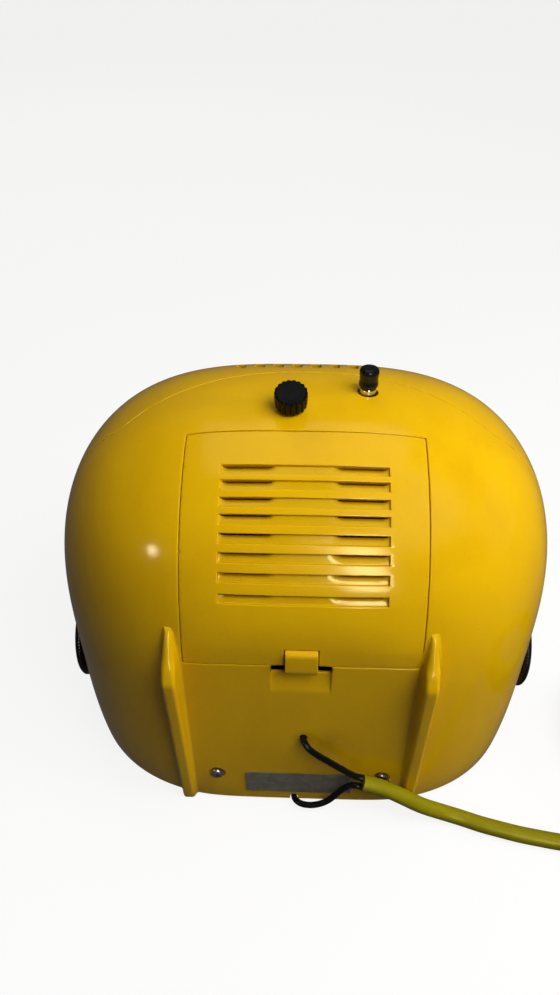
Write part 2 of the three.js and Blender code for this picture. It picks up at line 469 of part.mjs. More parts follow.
// ---------- leads and cable ----------
const SHEATH = [-27.8, 61.9, 24.4];
const CABLE_LINE = [
  SHEATH, [-35.7, 62.3, 22.0], [-44.8, 63.4, 17.4], [-54.2, 63.8, 10.9], [-63.8, 63.6, 5.6], [-72.7, 65.1, 3.7], [-81.1, 67.8, 3.6],
  [-89.5, 70.0, 3.6], [-97.8, 72.0, 3.6], [-106.2, 73.5, 3.6], [-112.8, 74.6, 3.6], [-125, 76.0, 3.6], [-140, 76.8, 3.6], [-156, 76.9, 3.6], [-170, 76.7, 3.6],
];
{
  const dir = new THREE.Vector3(...CABLE_LINE[1]).sub(new THREE.Vector3(...SHEATH)).normalize();
  const up = new THREE.Vector3(0.02, -0.61, 0.79);
  up.addScaledVector(dir, -up.dot(dir)).normalize();
  const end = (k, back) => {
    const p = new THREE.Vector3(...SHEATH).addScaledVector(up, k).addScaledVector(dir, -back);
    return [p.x, p.y, p.z];
  };
  add("lead_upper", tube([[-1.4, 48, 49.4], [-1.4, 55, 49.4], [-1.7, 58.6, 49.2], [-3.6, 60.7, 47.4], [-7.2, 60.9, 43.0], [-13.2, 60.9, 37.4], [-19.8, 61.0, 31.5], end(1.9, 4), end(1.9, 0.3)], LEAD_D, 8, 20), mat(0x0c0c0e, 0.35));
  add("lead_lower", tube([[2.1, 46, 3.3], [2.1, 54, 3.3], [1.8, 58.0, 3.3], [-0.7, 60.6, 3.6], [-5.3, 61.6, 3.9], [-10.0, 61.3, 4.9], [-13.4, 60.9, 7.2], [-16.4, 60.5, 11.0], [-19.4, 60.4, 15.8], [-22.6, 60.8, 19.7], end(-1.9, 2.6), end(-1.9, 0.3)], LEAD_D, 8, 24), mat(0x0c0c0e, 0.35));
}
add("cable", tube(CABLE_LINE, CABLE_D, 10, 22), mat(0xa09400, 0.45));
// two layers of turns side by side
const R0 = TURN_MID_R - 10.9, R1 = TURN_MID_R + 10.9;
add(
  "cable_coil",
  solid(turned([[R0 + 2, 0.1], [R1 - 2, 0.1], [R1, 2], [R1, 12.4], [R1 - 2, 14.3], [R0 + 2, 14.3], [R0, 12.4], [R0, 2], [R0 + 2, 0.1]], 40).translate(COIL_X, COIL_Y, 0))
    .subtract(solid(box(COIL_X - 2, COIL_X + 34, COIL_Y + 45.2, COIL_Y + 70, -1, 8.0))),
  mat(0xa09400, 0.45),
);
{
  // tie round the bundle, on the side away from the set
  const y0 = COIL_Y - 3, y1 = COIL_Y + 3;
  const strap = solid(box(COIL_X - R1 - 1.3, COIL_X - R0 + 1.3, y0, y1, 0.02, 15.6)).subtract(solid(box(COIL_X - R1 - 0.3, COIL_X - R0 + 0.3, y0 - 1, y1 + 1, -2, 14.6)));
  add("coil_tie", strap, mat(0x151515, 0.6));
}
{
  const y = COIL_Y + TURN_MID_R, z = 21.9;
  add("cable_tail", tube([[COIL_X + 34, y - 9, 18.3], [COIL_X + 28, y - 5.0, 18.9], [COIL_X + 21, y - 1.6, 20.6], [COIL_X + 15, y - 0.2, 21.7], [COIL_X + 9, y, z]], CABLE_D, 10, 8), mat(0xa09400, 0.45));
  const s = new THREE.Shape();
  s.moveTo(0, -5.4).lineTo(8, -9.5).lineTo(12, -12.6).lineTo(33, -12.6).lineTo(35, -11).lineTo(35, 11).lineTo(33, 12.6).lineTo(12, 12.6).lineTo(8, 9.5).lineTo(0, 5.4).closePath();
  const plug = new THREE.ExtrudeGeometry(s, { depth: 11, bevelEnabled: true, bevelThickness: 1.4, bevelSize: 1.0, bevelOffset: -1.0, bevelSegments: 1 });
  plug.rotateZ(Math.PI).translate(COIL_X + 8.7, y, z - 5.5);
  add("plug_body", plug, mat(0xa09400, 0.45));
  for (const k of [-1, 1])
    add(`plug_pin_${k < 0 ? 1 : 2}`, turned([[0, 0], [2, 0], [2, 16], [1.2, 18.4], [0, 19]], 14).rotateY(-Math.PI / 2).translate(COIL_X + 8.7 - 35.3, y + k * 9.3, z), mat(0xc9b26a, 0.3, 1));
}

export default group;
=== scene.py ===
import math
from math import sin, cos, pi, radians

import bmesh
import bpy
import numpy as np
from mathutils import Matrix, Vector


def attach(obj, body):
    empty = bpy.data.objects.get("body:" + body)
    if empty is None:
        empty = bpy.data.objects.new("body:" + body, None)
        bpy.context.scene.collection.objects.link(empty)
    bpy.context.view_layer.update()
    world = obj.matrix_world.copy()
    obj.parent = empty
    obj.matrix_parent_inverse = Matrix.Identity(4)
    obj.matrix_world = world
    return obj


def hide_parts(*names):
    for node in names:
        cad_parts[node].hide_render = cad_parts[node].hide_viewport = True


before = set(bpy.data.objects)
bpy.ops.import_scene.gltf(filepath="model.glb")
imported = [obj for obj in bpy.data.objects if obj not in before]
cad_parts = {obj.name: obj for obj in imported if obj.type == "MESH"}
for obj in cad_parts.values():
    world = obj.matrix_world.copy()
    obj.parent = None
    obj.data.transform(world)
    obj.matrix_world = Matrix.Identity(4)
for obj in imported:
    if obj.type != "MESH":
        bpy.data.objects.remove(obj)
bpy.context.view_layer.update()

SCENE = bpy.context.scene
SCENE.view_settings.view_transform = "Standard"
MY = 21.08  # millimetres; moves the drawing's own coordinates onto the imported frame


def metres(p):
    return (p[0] / 1000, (p[1] + MY) / 1000, p[2] / 1000)


# ------------------------------------------------------------------ camera
def add_camera():
    a, e, roll = radians(-2.22), radians(37.75), radians(-0.3)
    back = Vector((sin(a) * cos(e), cos(a) * cos(e), sin(e)))
    right0 = Vector((0, 0, 1)).cross(back).normalized()
    up0 = back.cross(right0).normalized()
    right = cos(roll) * right0 + sin(roll) * up0
    up = -sin(roll) * right0 + cos(roll) * up0
    data = bpy.data.cameras.new("photo_camera")
    data.lens = 26.05
    data.sensor_width = 36
    data.sensor_fit = "AUTO"
    data.clip_start = 0.01
    data.clip_end = 200
    cam = bpy.data.objects.new("photo_camera", data)
    SCENE.collection.objects.link(cam)
    m = Matrix((right, up, back)).transposed().to_4x4()
    m.translation = Vector((0.000926, 0.256665, 0.315661))
    cam.matrix_world = m
    SCENE.camera = cam


add_camera()

# ------------------------------------------------------------------ nodes
def new_material(name):
    m = bpy.data.materials.new(name)
    m.use_nodes = True
    t = m.node_tree
    b = t.nodes["Principled BSDF"]
    return m, t, b


def node(t, kind, **values):
    n = t.nodes.new(kind)
    for k, v in values.items():
        if k in n.inputs:
            n.inputs[k].default_value = v
        else:
            setattr(n, k, v)
    return n


def coords(t, scale=(1, 1, 1), rot=(0, 0, 0)):
    c = node(t, "ShaderNodeTexCoord")
    m = node(t, "ShaderNodeMapping")
    m.inputs["Scale"].default_value = scale
    m.inputs["Rotation"].default_value = rot
    t.links.new(c.outputs["Object"], m.inputs["Vector"])
    return m.outputs["Vector"]


def noise(t, vector, scale, detail=3, rough=0.5, distortion=0):
    n = node(t, "ShaderNodeTexNoise")
    n.inputs["Scale"].default_value = scale
    n.inputs["Detail"].default_value = detail
    n.inputs["Roughness"].default_value = rough
    n.inputs["Distortion"].default_value = distortion
    t.links.new(vector, n.inputs["Vector"])
    return n.outputs["Fac"]


def ramp(t, fac, stops):
    r = node(t, "ShaderNodeValToRGB")
    e = r.color_ramp.elements
    while len(e) > 1:
        e.remove(e[-1])
    for i, (pos, c) in enumerate(stops):
        if not hasattr(c, "__len__"):
            c = (c, c, c)
        el = e[0] if i == 0 else e.new(pos)
        el.position = pos
        el.color = (*c, 1)
    t.links.new(fac, r.inputs["Fac"])
    return r.outputs["Color"]


def mix(t, fac, a, b, mode="MIX"):
    m = node(t, "ShaderNodeMix")
    m.data_type = "RGBA"
    m.blend_type = mode
    if hasattr(fac, "is_output"):
        t.links.new(fac, m.inputs[0])
    else:
        m.inputs[0].default_value = fac
    for k, v in ((6, a), (7, b)):
        if hasattr(v, "is_output"):
            t.links.new(v, m.inputs[k])
        else:
            m.inputs[k].default_value = (*v, 1)
    return m.outputs[2]


def bump(t, b, height, strength, distance):
    n = node(t, "ShaderNodeBump")
    n.inputs["Strength"].default_value = strength
    n.inputs["Distance"].default_value = distance
    t.links.new(height, n.inputs["Height"])
    t.links.new(n.outputs["Normal"], b.inputs["Normal"])


def lin(*c):
    return tuple(((v / 255 + 0.055) / 1.055) ** 2.4 if v > 10 else v / 255 / 12.92 for v in c)


def spot(t, vector, centre, radius):
    """1 in the middle of a ball round centre, 0 outside it (row frame, metres)."""
    d = node(t, "ShaderNodeVectorMath", operation="DISTANCE")
    t.links.new(vector, d.inputs[0])
    d.inputs[1].default_value = centre
    r = node(t, "ShaderNodeMapRange")
    r.inputs["From Min"].default_value = radius
    r.inputs["From Max"].default_value = 0
    t.links.new(d.outputs["Value"], r.inputs["Value"])
    return r.outputs["Result"]


def times(t, a, b):
    m = node(t, "ShaderNodeMath", operation="MULTIPLY")
    t.links.new(a, m.inputs[0])
    if hasattr(b, "is_output"):
        t.links.new(b, m.inputs[1])
    else:
        m.inputs[1].default_value = b
    return m.outputs[0]


def yellow_plastic():
    m, t, b = new_material("yellow_plastic")
    v = coords(t)
    flow = noise(t, coords(t, (1, 1, 0.45)), 26, 4, 0.55, 0.6)
    colour = ramp(t, flow, [(0.25, (0.70, 0.385, 0.0006)), (0.5, (0.765, 0.432, 0.001)), (0.75, (0.80, 0.462, 0.0016))])
    speck = ramp(t, noise(t, v, 900, 2, 0.6), [(0.28, (0.8, 0.74, 0.6)), (0.36, (1, 1, 1))])
    colour = mix(t, 0.35, colour, speck, "MULTIPLY")
    # a stain beside the lead hole, and a darker patch round the hole
    stain = times(t, spot(t, v, (-0.0115, 0.078, 0.0445), 0.013), noise(t, v, 130, 4, 0.6, 1.5))
    colour = mix(t, times(t, stain, 0.75), colour, (0.30, 0.135, 0.01))
    hole_patch = times(t, spot(t, v, (-0.0014, 0.078, 0.049), 0.006), noise(t, v, 400, 4, 0.7))
    colour = mix(t, times(t, hole_patch, 0.8), colour, (0.22, 0.11, 0.01))
    # painted shade: the housing darkened to brown over its lowest 16 mm, towards the floor, broken up by noise
    low = node(t, "ShaderNodeSeparateXYZ")
    t.links.new(v, low.inputs[0])
    foot = node(t, "ShaderNodeMapRange")
    foot.inputs["From Min"].default_value = 0.016
    foot.inputs["From Max"].default_value = 0.0
    t.links.new(low.outputs["Z"], foot.inputs["Value"])
    colour = mix(t, times(t, times(t, foot.outputs["Result"], noise(t, v, 60, 4, 0.65, 0.8)), 0.55), colour, (0.33, 0.17, 0.02))
    # painted shade and painted reflection in the louvres: their floors darker (painted shade) and greener (painted
    # reflection) the deeper they lie
    under = node(t, "ShaderNodeAttribute", attribute_type="GEOMETRY", attribute_name="under")
    shade = ramp(t, under.outputs["Fac"], [(0.0, (1, 1, 1)), (0.12, (0.72, 0.68, 0.8)), (0.3, (0.9, 0.92, 1)), (0.5, (0.84, 0.88, 1)), (0.7, (0.62, 0.58, 0.7)), (0.9, (0.30, 0.25, 0.4))])
    colour = mix(t, 1.0, colour, shade, "MULTIPLY")
    t.links.new(colour, b.inputs["Base Color"])
    smear = noise(t, coords(t, (1, 1, 3), (0.2, 0.1, 0.6)), 18, 5, 0.6, 1.0)
    t.links.new(ramp(t, smear, [(0.3, 0.11), (0.55, 0.15), (0.72, 0.26)]), b.inputs["Roughness"])
    scratch = noise(t, coords(t, (1, 14, 5), (0.3, 0.5, 0.9)), 420, 2, 0.5, 0.3)
    peel = noise(t, v, 210, 2, 0.4)
    h = mix(t, 0.25, peel, scratch)
    bump(t, b, h, 0.05, 0.0004)
    b.inputs["IOR"].default_value = 1.5
    b.inputs["Specular IOR Level"].default_value = 0.5
    b.inputs["Specular Tint"].default_value = (1.0, 0.93, 0.55, 1)
    b.inputs["Subsurface Weight"].default_value = 0.06
    b.inputs["Subsurface Radius"].default_value = (0.0022, 0.0012, 0.0002)
    b.inputs["Subsurface Scale"].default_value = 1.0
    return m


def black_plastic(name, rough=0.3, tone=0.012, warm=(1, 1, 1.05), grain=700, depth=0.06, shine=0.5):
    m, t, b = new_material(name)
    b.inputs["Specular IOR Level"].default_value = shine
    v = coords(t)
    c = [tone * w for w in warm]
    t.links.new(ramp(t, noise(t, v, 90, 4, 0.6), [(0.3, tuple(0.75 * x for x in c)), (0.7, tuple(1.5 * x for x in c))]), b.inputs["Base Color"])
    t.links.new(ramp(t, noise(t, v, 160, 4, 0.65, 0.6), [(0.3, rough * 0.8), (0.7, rough * 1.35)]), b.inputs["Roughness"])
    bump(t, b, noise(t, v, grain, 3, 0.6), depth, 0.0003)
    return m


def metal(name, colour, rough, brushed=(1, 1, 12), metallic=1.0, wear=0.25):
    m, t, b = new_material(name)
    v = coords(t, brushed)
    n = noise(t, v, 300, 4, 0.6)
    t.links.new(ramp(t, n, [(0.3, tuple(x * (1 - wear) for x in colour)), (0.7, colour)]), b.inputs["Base Color"])
    b.inputs["Metallic"].default_value = metallic
    t.links.new(ramp(t, n, [(0.3, rough * 1.4), (0.7, rough * 0.8)]), b.inputs["Roughness"])
    bump(t, b, n, 0.06, 0.0002)
    return m


def dull(name, colour, rough=0.6, grain=350, spread=0.25, depth=0.12, scale=(1, 1, 1)):
    m, t, b = new_material(name)
    v = coords(t, scale)
    n = noise(t, v, grain, 4, 0.6)
    big = noise(t, coords(t), 70, 3, 0.5)
    a = mix(t, 0.5, ramp(t, n, [(0.3, tuple(x * (1 - spread) for x in colour)), (0.7, tuple(min(1, x * (1 + spread)) for x in colour))]),
            ramp(t, big, [(0.35, tuple(x * (1 - spread * 0.7) for x in colour)), (0.7, tuple(min(1, x * (1 + spread * 0.5)) for x in colour))]))
    t.links.new(a, b.inputs["Base Color"])
    t.links.new(ramp(t, n, [(0.2, min(1, rough * 1.15)), (0.8, rough * 0.8)]), b.inputs["Roughness"])
    bump(t, b, n, depth, 0.0003)
    return m


def cable_material():
    m, t, b = new_material("green_cable")
    v = coords(t)
    n = noise(t, v, 60, 4, 0.55)
    c = ramp(t, n, [(0.25, (0.235, 0.200, 0.0012)), (0.75, (0.315, 0.270, 0.0022))])
    c = mix(t, times(t, noise(t, v, 500, 4, 0.7), 0.22), c, (0.10, 0.085, 0.01))
    t.links.new(c, b.inputs["Base Color"])
    t.links.new(ramp(t, noise(t, v, 220, 4, 0.6), [(0.3, 0.30), (0.7, 0.46)]), b.inputs["Roughness"])
    bump(t, b, noise(t, v, 850, 3, 0.6), 0.10, 0.0003)
    b.inputs["Specular Tint"].default_value = (1.0, 0.9, 0.2, 1)
    b.inputs["Subsurface Weight"].default_value = 0.05
    b.inputs["Subsurface Radius"].default_value = (0.001, 0.001, 0.0003)
    return m


def winding(name, colour, scale=(1, 1, 1)):
    m, t, b = new_material(name)
    w = node(t, "ShaderNodeTexWave", wave_type="BANDS", bands_direction="Z")
    w.inputs["Scale"].default_value = 420
    w.inputs["Distortion"].default_value = 1.2
    w.inputs["Detail"].default_value = 2
    t.links.new(coords(t, scale), w.inputs["Vector"])
    t.links.new(ramp(t, w.outputs["Fac"], [(0.1, tuple(0.35 * x for x in colour)), (0.7, colour)]), b.inputs["Base Color"])
    t.links.new(ramp(t, w.outputs["Fac"], [(0.1, 0.55), (0.8, 0.25)]), b.inputs["Roughness"])
    b.inputs["Metallic"].default_value = 0.35
    bump(t, b, w.outputs["Fac"], 0.5, 0.0004)
    return m


YELLOW = yellow_plastic()
BLACK = black_plastic("black_plastic", 0.22, 0.004, shine=0.35)
KNOB_BLACK = black_plastic("knob_black", 0.30, 0.0016, (1.1, 0.95, 0.9), 1400, 0.12, 0.14)
MATT = black_plastic("black_matt", 0.55, 0.02, (1, 1, 1), 900, 0.25)
LEAD = black_plastic("black_lead", 0.24, 0.003, (1, 1, 1), 500, 0.08, 0.3)
GREEN = cable_material()
BRIGHT = metal("bright_tube", (0.78, 0.78, 0.76), 0.12, (1, 1, 20))
STEEL = metal("steel", (0.60, 0.59, 0.56), 0.28, (1, 1, 1), 1.0, 0.45)
GREY_METAL = metal("grey_metal", (0.42, 0.43, 0.43), 0.42, (1, 6, 1), 1.0, 0.3)
RUBBER = dull("rubber", (0.016, 0.016, 0.017), 0.85, 600, 0.3, 0.3)
BOARD = dull("board", (0.27, 0.15, 0.045), 0.55, 260, 0.25, 0.15)
CORE = dull("dark_core", (0.045, 0.04, 0.037), 0.75, 500, 0.3, 0.35)
PAPER = dull("cone_paper", (0.013, 0.0125, 0.012), 0.9, 900, 0.4, 0.5)
PALE = dull("pale_plastic", (0.62, 0.57, 0.45), 0.5, 200, 0.12, 0.08)
SLEEVE = dull("blue_sleeve", (0.013, 0.06, 0.15), 0.35, 150, 0.2, 0.05)
COPPER = winding("winding", (0.62, 0.20, 0.06))


def foil_material():
    m, t, b = new_material("foil")
    v = coords(t)
    n = noise(t, v, 260, 5, 0.65, 0.8)
    t.links.new(ramp(t, n, [(0.3, (0.20, 0.185, 0.14)), (0.7, (0.36, 0.335, 0.26))]), b.inputs["Base Color"])
    b.inputs["Metallic"].default_value = 0.55
    t.links.new(ramp(t, noise(t, v, 120, 4, 0.6), [(0.3, 0.32), (0.7, 0.5)]), b.inputs["Roughness"])
    bump(t, b, n, 0.25, 0.0004)
    return m


FOIL = foil_material()


def glass_materials():
    m, t, b = new_material("smoked_window")
    v = coords(t)
    t.links.new(ramp(t, noise(t, v, 30, 3), [(0.3, (0.17, 0.18, 0.19)), (0.7, (0.20, 0.21, 0.22))]), b.inputs["Base Color"])
    t.links.new(ramp(t, noise(t, v, 50, 4, 0.6), [(0.4, 0.03), (0.8, 0.09)]), b.inputs["Roughness"])
    b.inputs["Transmission Weight"].default_value = 1.0
    b.inputs["IOR"].default_value = 1.49
    g, t, b = new_material("tube_glass")
    v = coords(t)
    t.links.new(ramp(t, noise(t, v, 1500, 2), [(0.3, (0.10, 0.115, 0.105)), (0.7, (0.13, 0.145, 0.135))]), b.inputs["Base Color"])
    t.links.new(ramp(t, noise(t, v, 60, 3), [(0.4, 0.09), (0.8, 0.16)]), b.inputs["Roughness"])
    b.inputs["Coat Weight"].default_value = 0.8
    b.inputs["Coat Roughness"].default_value = 0.04
    return m, g


WINDOW, TUBE = glass_materials()


# ------------------------------------------------------------------ building
def add_mesh(name, verts, faces, material, body="set", bevel=None, sharp=48, slot=None, replaces=(), weighted=True, cut=None, keep_edge=None,
             segments=2, merge=2e-6):
    """verts in the drawing's millimetres. bevel is (edges as vertex pairs, width in mm), or a width for every edge over 38 degrees."""
    v = np.array(verts, float)
    v[:, 1] += MY
    v /= 1000
    bm = bmesh.new()
    bv = [bm.verts.new(p) for p in v.tolist()]
    bm.verts.ensure_lookup_table()
    for f in faces:
        try:
            bm.faces.new([bv[i] for i in f])
        except ValueError:
            pass
    mark = bm.edges.layers.float.new("bevel_weight_edge")
    if isinstance(bevel, tuple):
        for a, b in bevel[0]:
            e = bm.edges.get((bv[a], bv[b]))
            if e is not None:
                e[mark] = 1
    loose = [x for x in bm.verts if not x.link_faces]
    bmesh.ops.delete(bm, geom=loose, context="VERTS")
    bmesh.ops.remove_doubles(bm, verts=bm.verts[:], dist=merge)
    bmesh.ops.dissolve_degenerate(bm, edges=bm.edges[:], dist=merge)
    bmesh.ops.recalc_face_normals(bm, faces=bm.faces[:])
    if bevel is not None:
        if isinstance(bevel, tuple):
            width = bevel[1]
            edges = [e for e in bm.edges if e[mark] > 0.5 and len(e.link_faces) == 2 and (keep_edge is None or keep_edge(e))]
        else:
            width = bevel
            edges = [e for e in bm.edges if len(e.link_faces) == 2 and e.calc_face_angle(0) > radians(38)]
        bmesh.ops.bevel(bm, geom=edges, offset=width / 1000, offset_type="OFFSET", segments=segments, profile=0.5,
                        affect="EDGES", clamp_overlap=not isinstance(bevel, tuple))
    me = bpy.data.meshes.new(name)
    bm.to_mesh(me)
    bm.free()
    me.polygons.foreach_set("use_smooth", [True] * len(me.polygons))
    me.set_sharp_from_angle(angle=radians(sharp))
    for x in material if isinstance(material, (list, tuple)) else [material]:
        me.materials.append(x)
    ob = bpy.data.objects.new(name, me)
    SCENE.collection.objects.link(ob)
    if cut is not None:
        apply_cut(ob, cut)
        ob.data.polygons.foreach_set("use_smooth", [True] * len(ob.data.polygons))
        ob.data.set_sharp_from_angle(angle=radians(sharp))
    if weighted:
        w = ob.modifiers.new("weighted_normal", "WEIGHTED_NORMAL")
        w.keep_sharp = True
        w.weight = 50
    if body:
        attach(ob, body)
    if replaces:
        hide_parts(*replaces)
    return ob


def apply_cut(ob, cutters, operation="DIFFERENCE"):
    """Cuts the (verts, faces) solids out of ob, exactly."""
    allv, allf, k = [], [], 0
    for v, f in cutters:
        allv += [list(p) for p in v]
        allf += [tuple(i + k for i in x) for x in f]
        k += len(v)
    a = np.array(allv, float)
    a[:, 1] += MY
    a /= 1000
    bm = bmesh.new()
    bv = [bm.verts.new(p) for p in a.tolist()]
    for f in allf:
        bm.faces.new([bv[i] for i in f])
    bmesh.ops.recalc_face_normals(bm, faces=bm.faces[:])
    me = bpy.data.meshes.new("cutter")
    bm.to_mesh(me)
    bm.free()
    me.polygons.foreach_set("use_smooth", [True] * len(me.polygons))
    c = bpy.data.objects.new("cutter", me)
    SCENE.collection.objects.link(c)
    m = ob.modifiers.new("cut", "BOOLEAN")
    m.operation = operation
    m.solver = "EXACT"
    m.object = c
    bpy.context.view_layer.update()
    done = bpy.data.meshes.new_from_object(ob.evaluated_get(bpy.context.evaluated_depsgraph_get()))
    ob.modifiers.remove(m)
    old = ob.data
    ob.data = done
    bpy.data.meshes.remove(old)
    bpy.data.objects.remove(c)
    bpy.data.meshes.remove(me)


def fillet(points, r, steps=4, closed=False):
    """Rounds the corners of a polyline with short curves."""
    p = [np.array(q, float) for q in points]
    n = len(p)
    out = []
    for i in range(n):
        if not closed and i in (0, n - 1):
            out.append(p[i])
            continue
        a, b, c = p[i - 1], p[i], p[(i + 1) % n]
        rad = r[i] if hasattr(r, "__len__") else r
        la, lc = np.linalg.norm(a - b), np.linalg.norm(c - b)
        if rad <= 0 or la < 1e-9 or lc < 1e-9:
            out.append(b)
            continue
        ca = np.dot((a - b) / la, (c - b) / lc)
        if ca < -0.985:
            out.append(b)
            continue
        d = min(rad, la * 0.45, lc * 0.45)
        s, e = b + (a - b) / la * d, b + (c - b) / lc * d
        for k in range(steps + 1):
            u = k / steps
            out.append((1 - u) ** 2 * s + 2 * u * (1 - u) * b + u * u * e)
    return [tuple(q) for q in out]


def lathe(profile, seg=48, closed=False, radial=None):
    verts, faces, rings = [], [], []
    for r, h in profile:
        if r < 1e-6:
            rings.append([len(verts)])
            verts.append((0, 0, h))
        else:
            b = len(verts)
            rings.append(list(range(b, b + seg)))
            for i in range(seg):
                t = 2 * pi * i / seg
                q = radial(r, h, t) if radial else r
                verts.append((q * cos(t), q * sin(t), h))
    pairs = [(k, k + 1) for k in range(len(rings) - 1)] + ([(len(rings) - 1, 0)] if closed else [])
    for a, b in pairs:
        A, B = rings[a], rings[b]
        for i in range(seg):
            j = (i + 1) % seg
            if len(A) == 1 and len(B) == 1:
                continue
            if len(A) == 1:
                faces.append((A[0], B[i], B[j]))
            elif len(B) == 1:
                faces.append((A[i], B[0], A[j]))
            else:
                faces.append((A[i], B[i], B[j], A[j]))
    return np.array(verts, float), faces


def placed(vf, at=(0, 0, 0), axis="z"):
    """Turns a part drawn along +Z so that it points along axis, and moves it."""
    v, f = vf
    x, y, z = v[:, 0], v[:, 1], v[:, 2]
    w = {"z": (x, y, z), "y": (x, z, -y), "x": (z, y, -x), "-x": (-z, y, x), "-y": (x, -z, y)}[axis]
    w = np.stack(w, 1) + np.array(at, float)
    return w, f


def joined(*parts):
    v, f, k = [], [], 0
    for a, b in parts:
        v.append(np.asarray(a, float))
        f += [tuple(i + k for i in x) for x in b]
        k += len(a)
    return np.concatenate(v), f


def prism(outline, h0, h1, put):
    """Closed prism of a 2-D outline; put maps (a, b, h) to a point."""
    n = len(outline)
    v = [put(a, b, h0) for a, b in outline] + [put(a, b, h1) for a, b in outline]
    f = [tuple(range(n)), tuple(range(2 * n - 1, n - 1, -1))] + [(i, (i + 1) % n, (i + 1) % n + n, i + n) for i in range(n)]
    return np.array(v, float), f


def block(x0, x1, y0, y1, z0, z1):
    return prism([(x0, y0), (x1, y0), (x1, y1), (x0, y1)], z0, z1, lambda a, b, h: (a, b, h))


def rounded_rect(w, h, r, steps=8):
    out = []
    for cx, cy, a0 in ((w / 2 - r, h / 2 - r, 0), (-w / 2 + r, h / 2 - r, 90), (-w / 2 + r, -h / 2 + r, 180), (w / 2 - r, -h / 2 + r, 270)):
        for k in range(steps + 1):
            a = radians(a0 + 90 * k / steps)
            out.append((cx + r * cos(a), cy + r * sin(a)))
    return out


def thick_grid(outer, inner, mask):
    """Two sheets joined round every free edge. Returns verts, faces and the outer sheet's free edges."""
    ni, nj, _ = outer.shape
    n = ni * nj
    faces, free = [], []

    def at(i, j):
        return 0 <= i < ni - 1 and 0 <= j < nj - 1 and mask[i, j]

    for i in range(ni - 1):
        for j in range(nj - 1):
            if mask[i, j]:
                a, b, c, d = i * nj + j, (i + 1) * nj + j, (i + 1) * nj + j + 1, i * nj + j + 1
                faces.append((a, b, c, d))
                faces.append((a + n, d + n, c + n, b + n))
    for i in range(ni):
        for j in range(nj):
            a = i * nj + j
            if i < ni - 1 and at(i, j) != at(i, j - 1):
                b = a + nj
                faces.append((a, b, b + n, a + n))
                free.append((a, b))
            if j < nj - 1 and at(i, j) != at(i - 1, j):
                b = a + 1
                faces.append((a, b, b + n, a + n))
                free.append((a, b))
    return np.concatenate([outer.reshape(-1, 3), inner.reshape(-1, 3)]), faces, free


# ------------------------------------------------------------------ the housing's form
AX, Y0, DB, DF, Z0, CT, CL = 110.0, -21.5, 82.2, 85.8, 67.2, 104.1, 142.2
NP, PT, PL, PANEL, RIM, WALL, SMOOTH = 3.19, 2.83, 3.72, 57.1, 1.2, 2.6, 1.6


def seam(x):
    x = np.abs(x)
    return np.where(x < 75, -41.6 + 30 * (1 - np.cos(pi * np.minimum(x, 75) / 150)), -11.6)


def flatten(y):
    h = np.clip(0.5 + 0.5 * (PANEL - y) / SMOOTH, 0, 1)
    return PANEL * (1 - h) + y * h - SMOOTH * h * (1 - h), h


def normal_at(x, y, z):
    """Outward normal of the form at points on it (y before the flat back is cut)."""
    fx = NP / AX * np.sign(x) * np.abs(x / AX) ** (NP - 1)
    d = np.where(y > Y0, DB, DF)
    fy = 2 * (y - Y0) / d**2
    up = z > Z0
    fz = np.where(up, PT / CT * np.abs((z - Z0) / CT) ** (PT - 1), -PL / CL * np.abs((z - Z0) / CL) ** (PL - 1))
    _, h = flatten(y)
    n = np.stack([h * fx, fy, h * fz], -1)
    return n / np.maximum(np.linalg.norm(n, axis=-1, keepdims=True), 1e-12)


def surface_y(x, z, back=True, t=0.0):
    """Y of the form, moved in by t, at (x, z)."""
    up = z > Z0
    q = np.where(up, np.abs((z - Z0) / (CT - t)) ** PT, np.abs((z - Z0) / (CL - t)) ** PL)
    k = np.maximum(1 - np.abs(x / (AX - t)) ** NP - q, 0)
    if back:
        y, _ = flatten(Y0 + (DB - t) * np.sqrt(k) + t)
        return y - t
    return Y0 - (DF - t) * np.sqrt(k)


def section(x, y_start, z_end=RIM, n=1600):
    """Dense line down the back at this x: from y_start on the top to z_end, or to y_start again underneath."""
    k = max(1 - abs(x / AX) ** NP, 1e-9)
    rt = math.sqrt(k)
    d = DF if y_start < Y0 else DB
    p0 = math.acos(max(-1, min(1, (y_start - Y0) / (d * rt))))
    if z_end > Z0:
        p1 = math.asin(min(1, math.sqrt(((z_end - Z0) / CT) ** PT / k)))
    else:
        s = ((Z0 - z_end) / CL) ** PL / k
        p1 = -math.asin(math.sqrt(s)) if s < 1 else -pi / 2
        if y_start >= Y0:
            p1 = max(p1, -p0)
    w = np.linspace(p0 ** (1 / 1.5), math.copysign(abs(p1) ** (1 / 1.5), p1), n)
    phi = np.sign(w) * np.abs(w) ** 1.5
    c, q = np.cos(phi), np.sin(phi)
    y = Y0 + np.where(c >= 0, DB, DF) * rt * c
    z = Z0 + np.where(q >= 0, CT * k ** (1 / PT) * np.abs(q) ** (2 / PT), -CL * k ** (1 / PL) * np.abs(q) ** (2 / PL))
    length = np.concatenate([[0], np.cumsum(np.hypot(np.diff(y), np.diff(z)))])
    return y, z, length


def offset(points, raw_y, t):
    """The points moved in by t along the form's normal."""
    return points - t * normal_at(points[..., 0], raw_y, points[..., 2])


def arc_lines(a, b, n):
    """n steps of x from a to b, even along the side profile."""
    x = np.linspace(a, b, 4000)
    y = DB * np.sqrt(np.maximum(1 - (x / AX) ** NP, 0))
    l = np.concatenate([[0], np.cumsum(np.hypot(np.diff(x), np.diff(y)))])
    return np.interp(np.linspace(0, l[-1], n + 1), l, x)


def mirrored(half):
    half = sorted(set(round(float(v), 5) for v in half))
    return np.array([-v for v in half[::-1] if v > 0] + half)


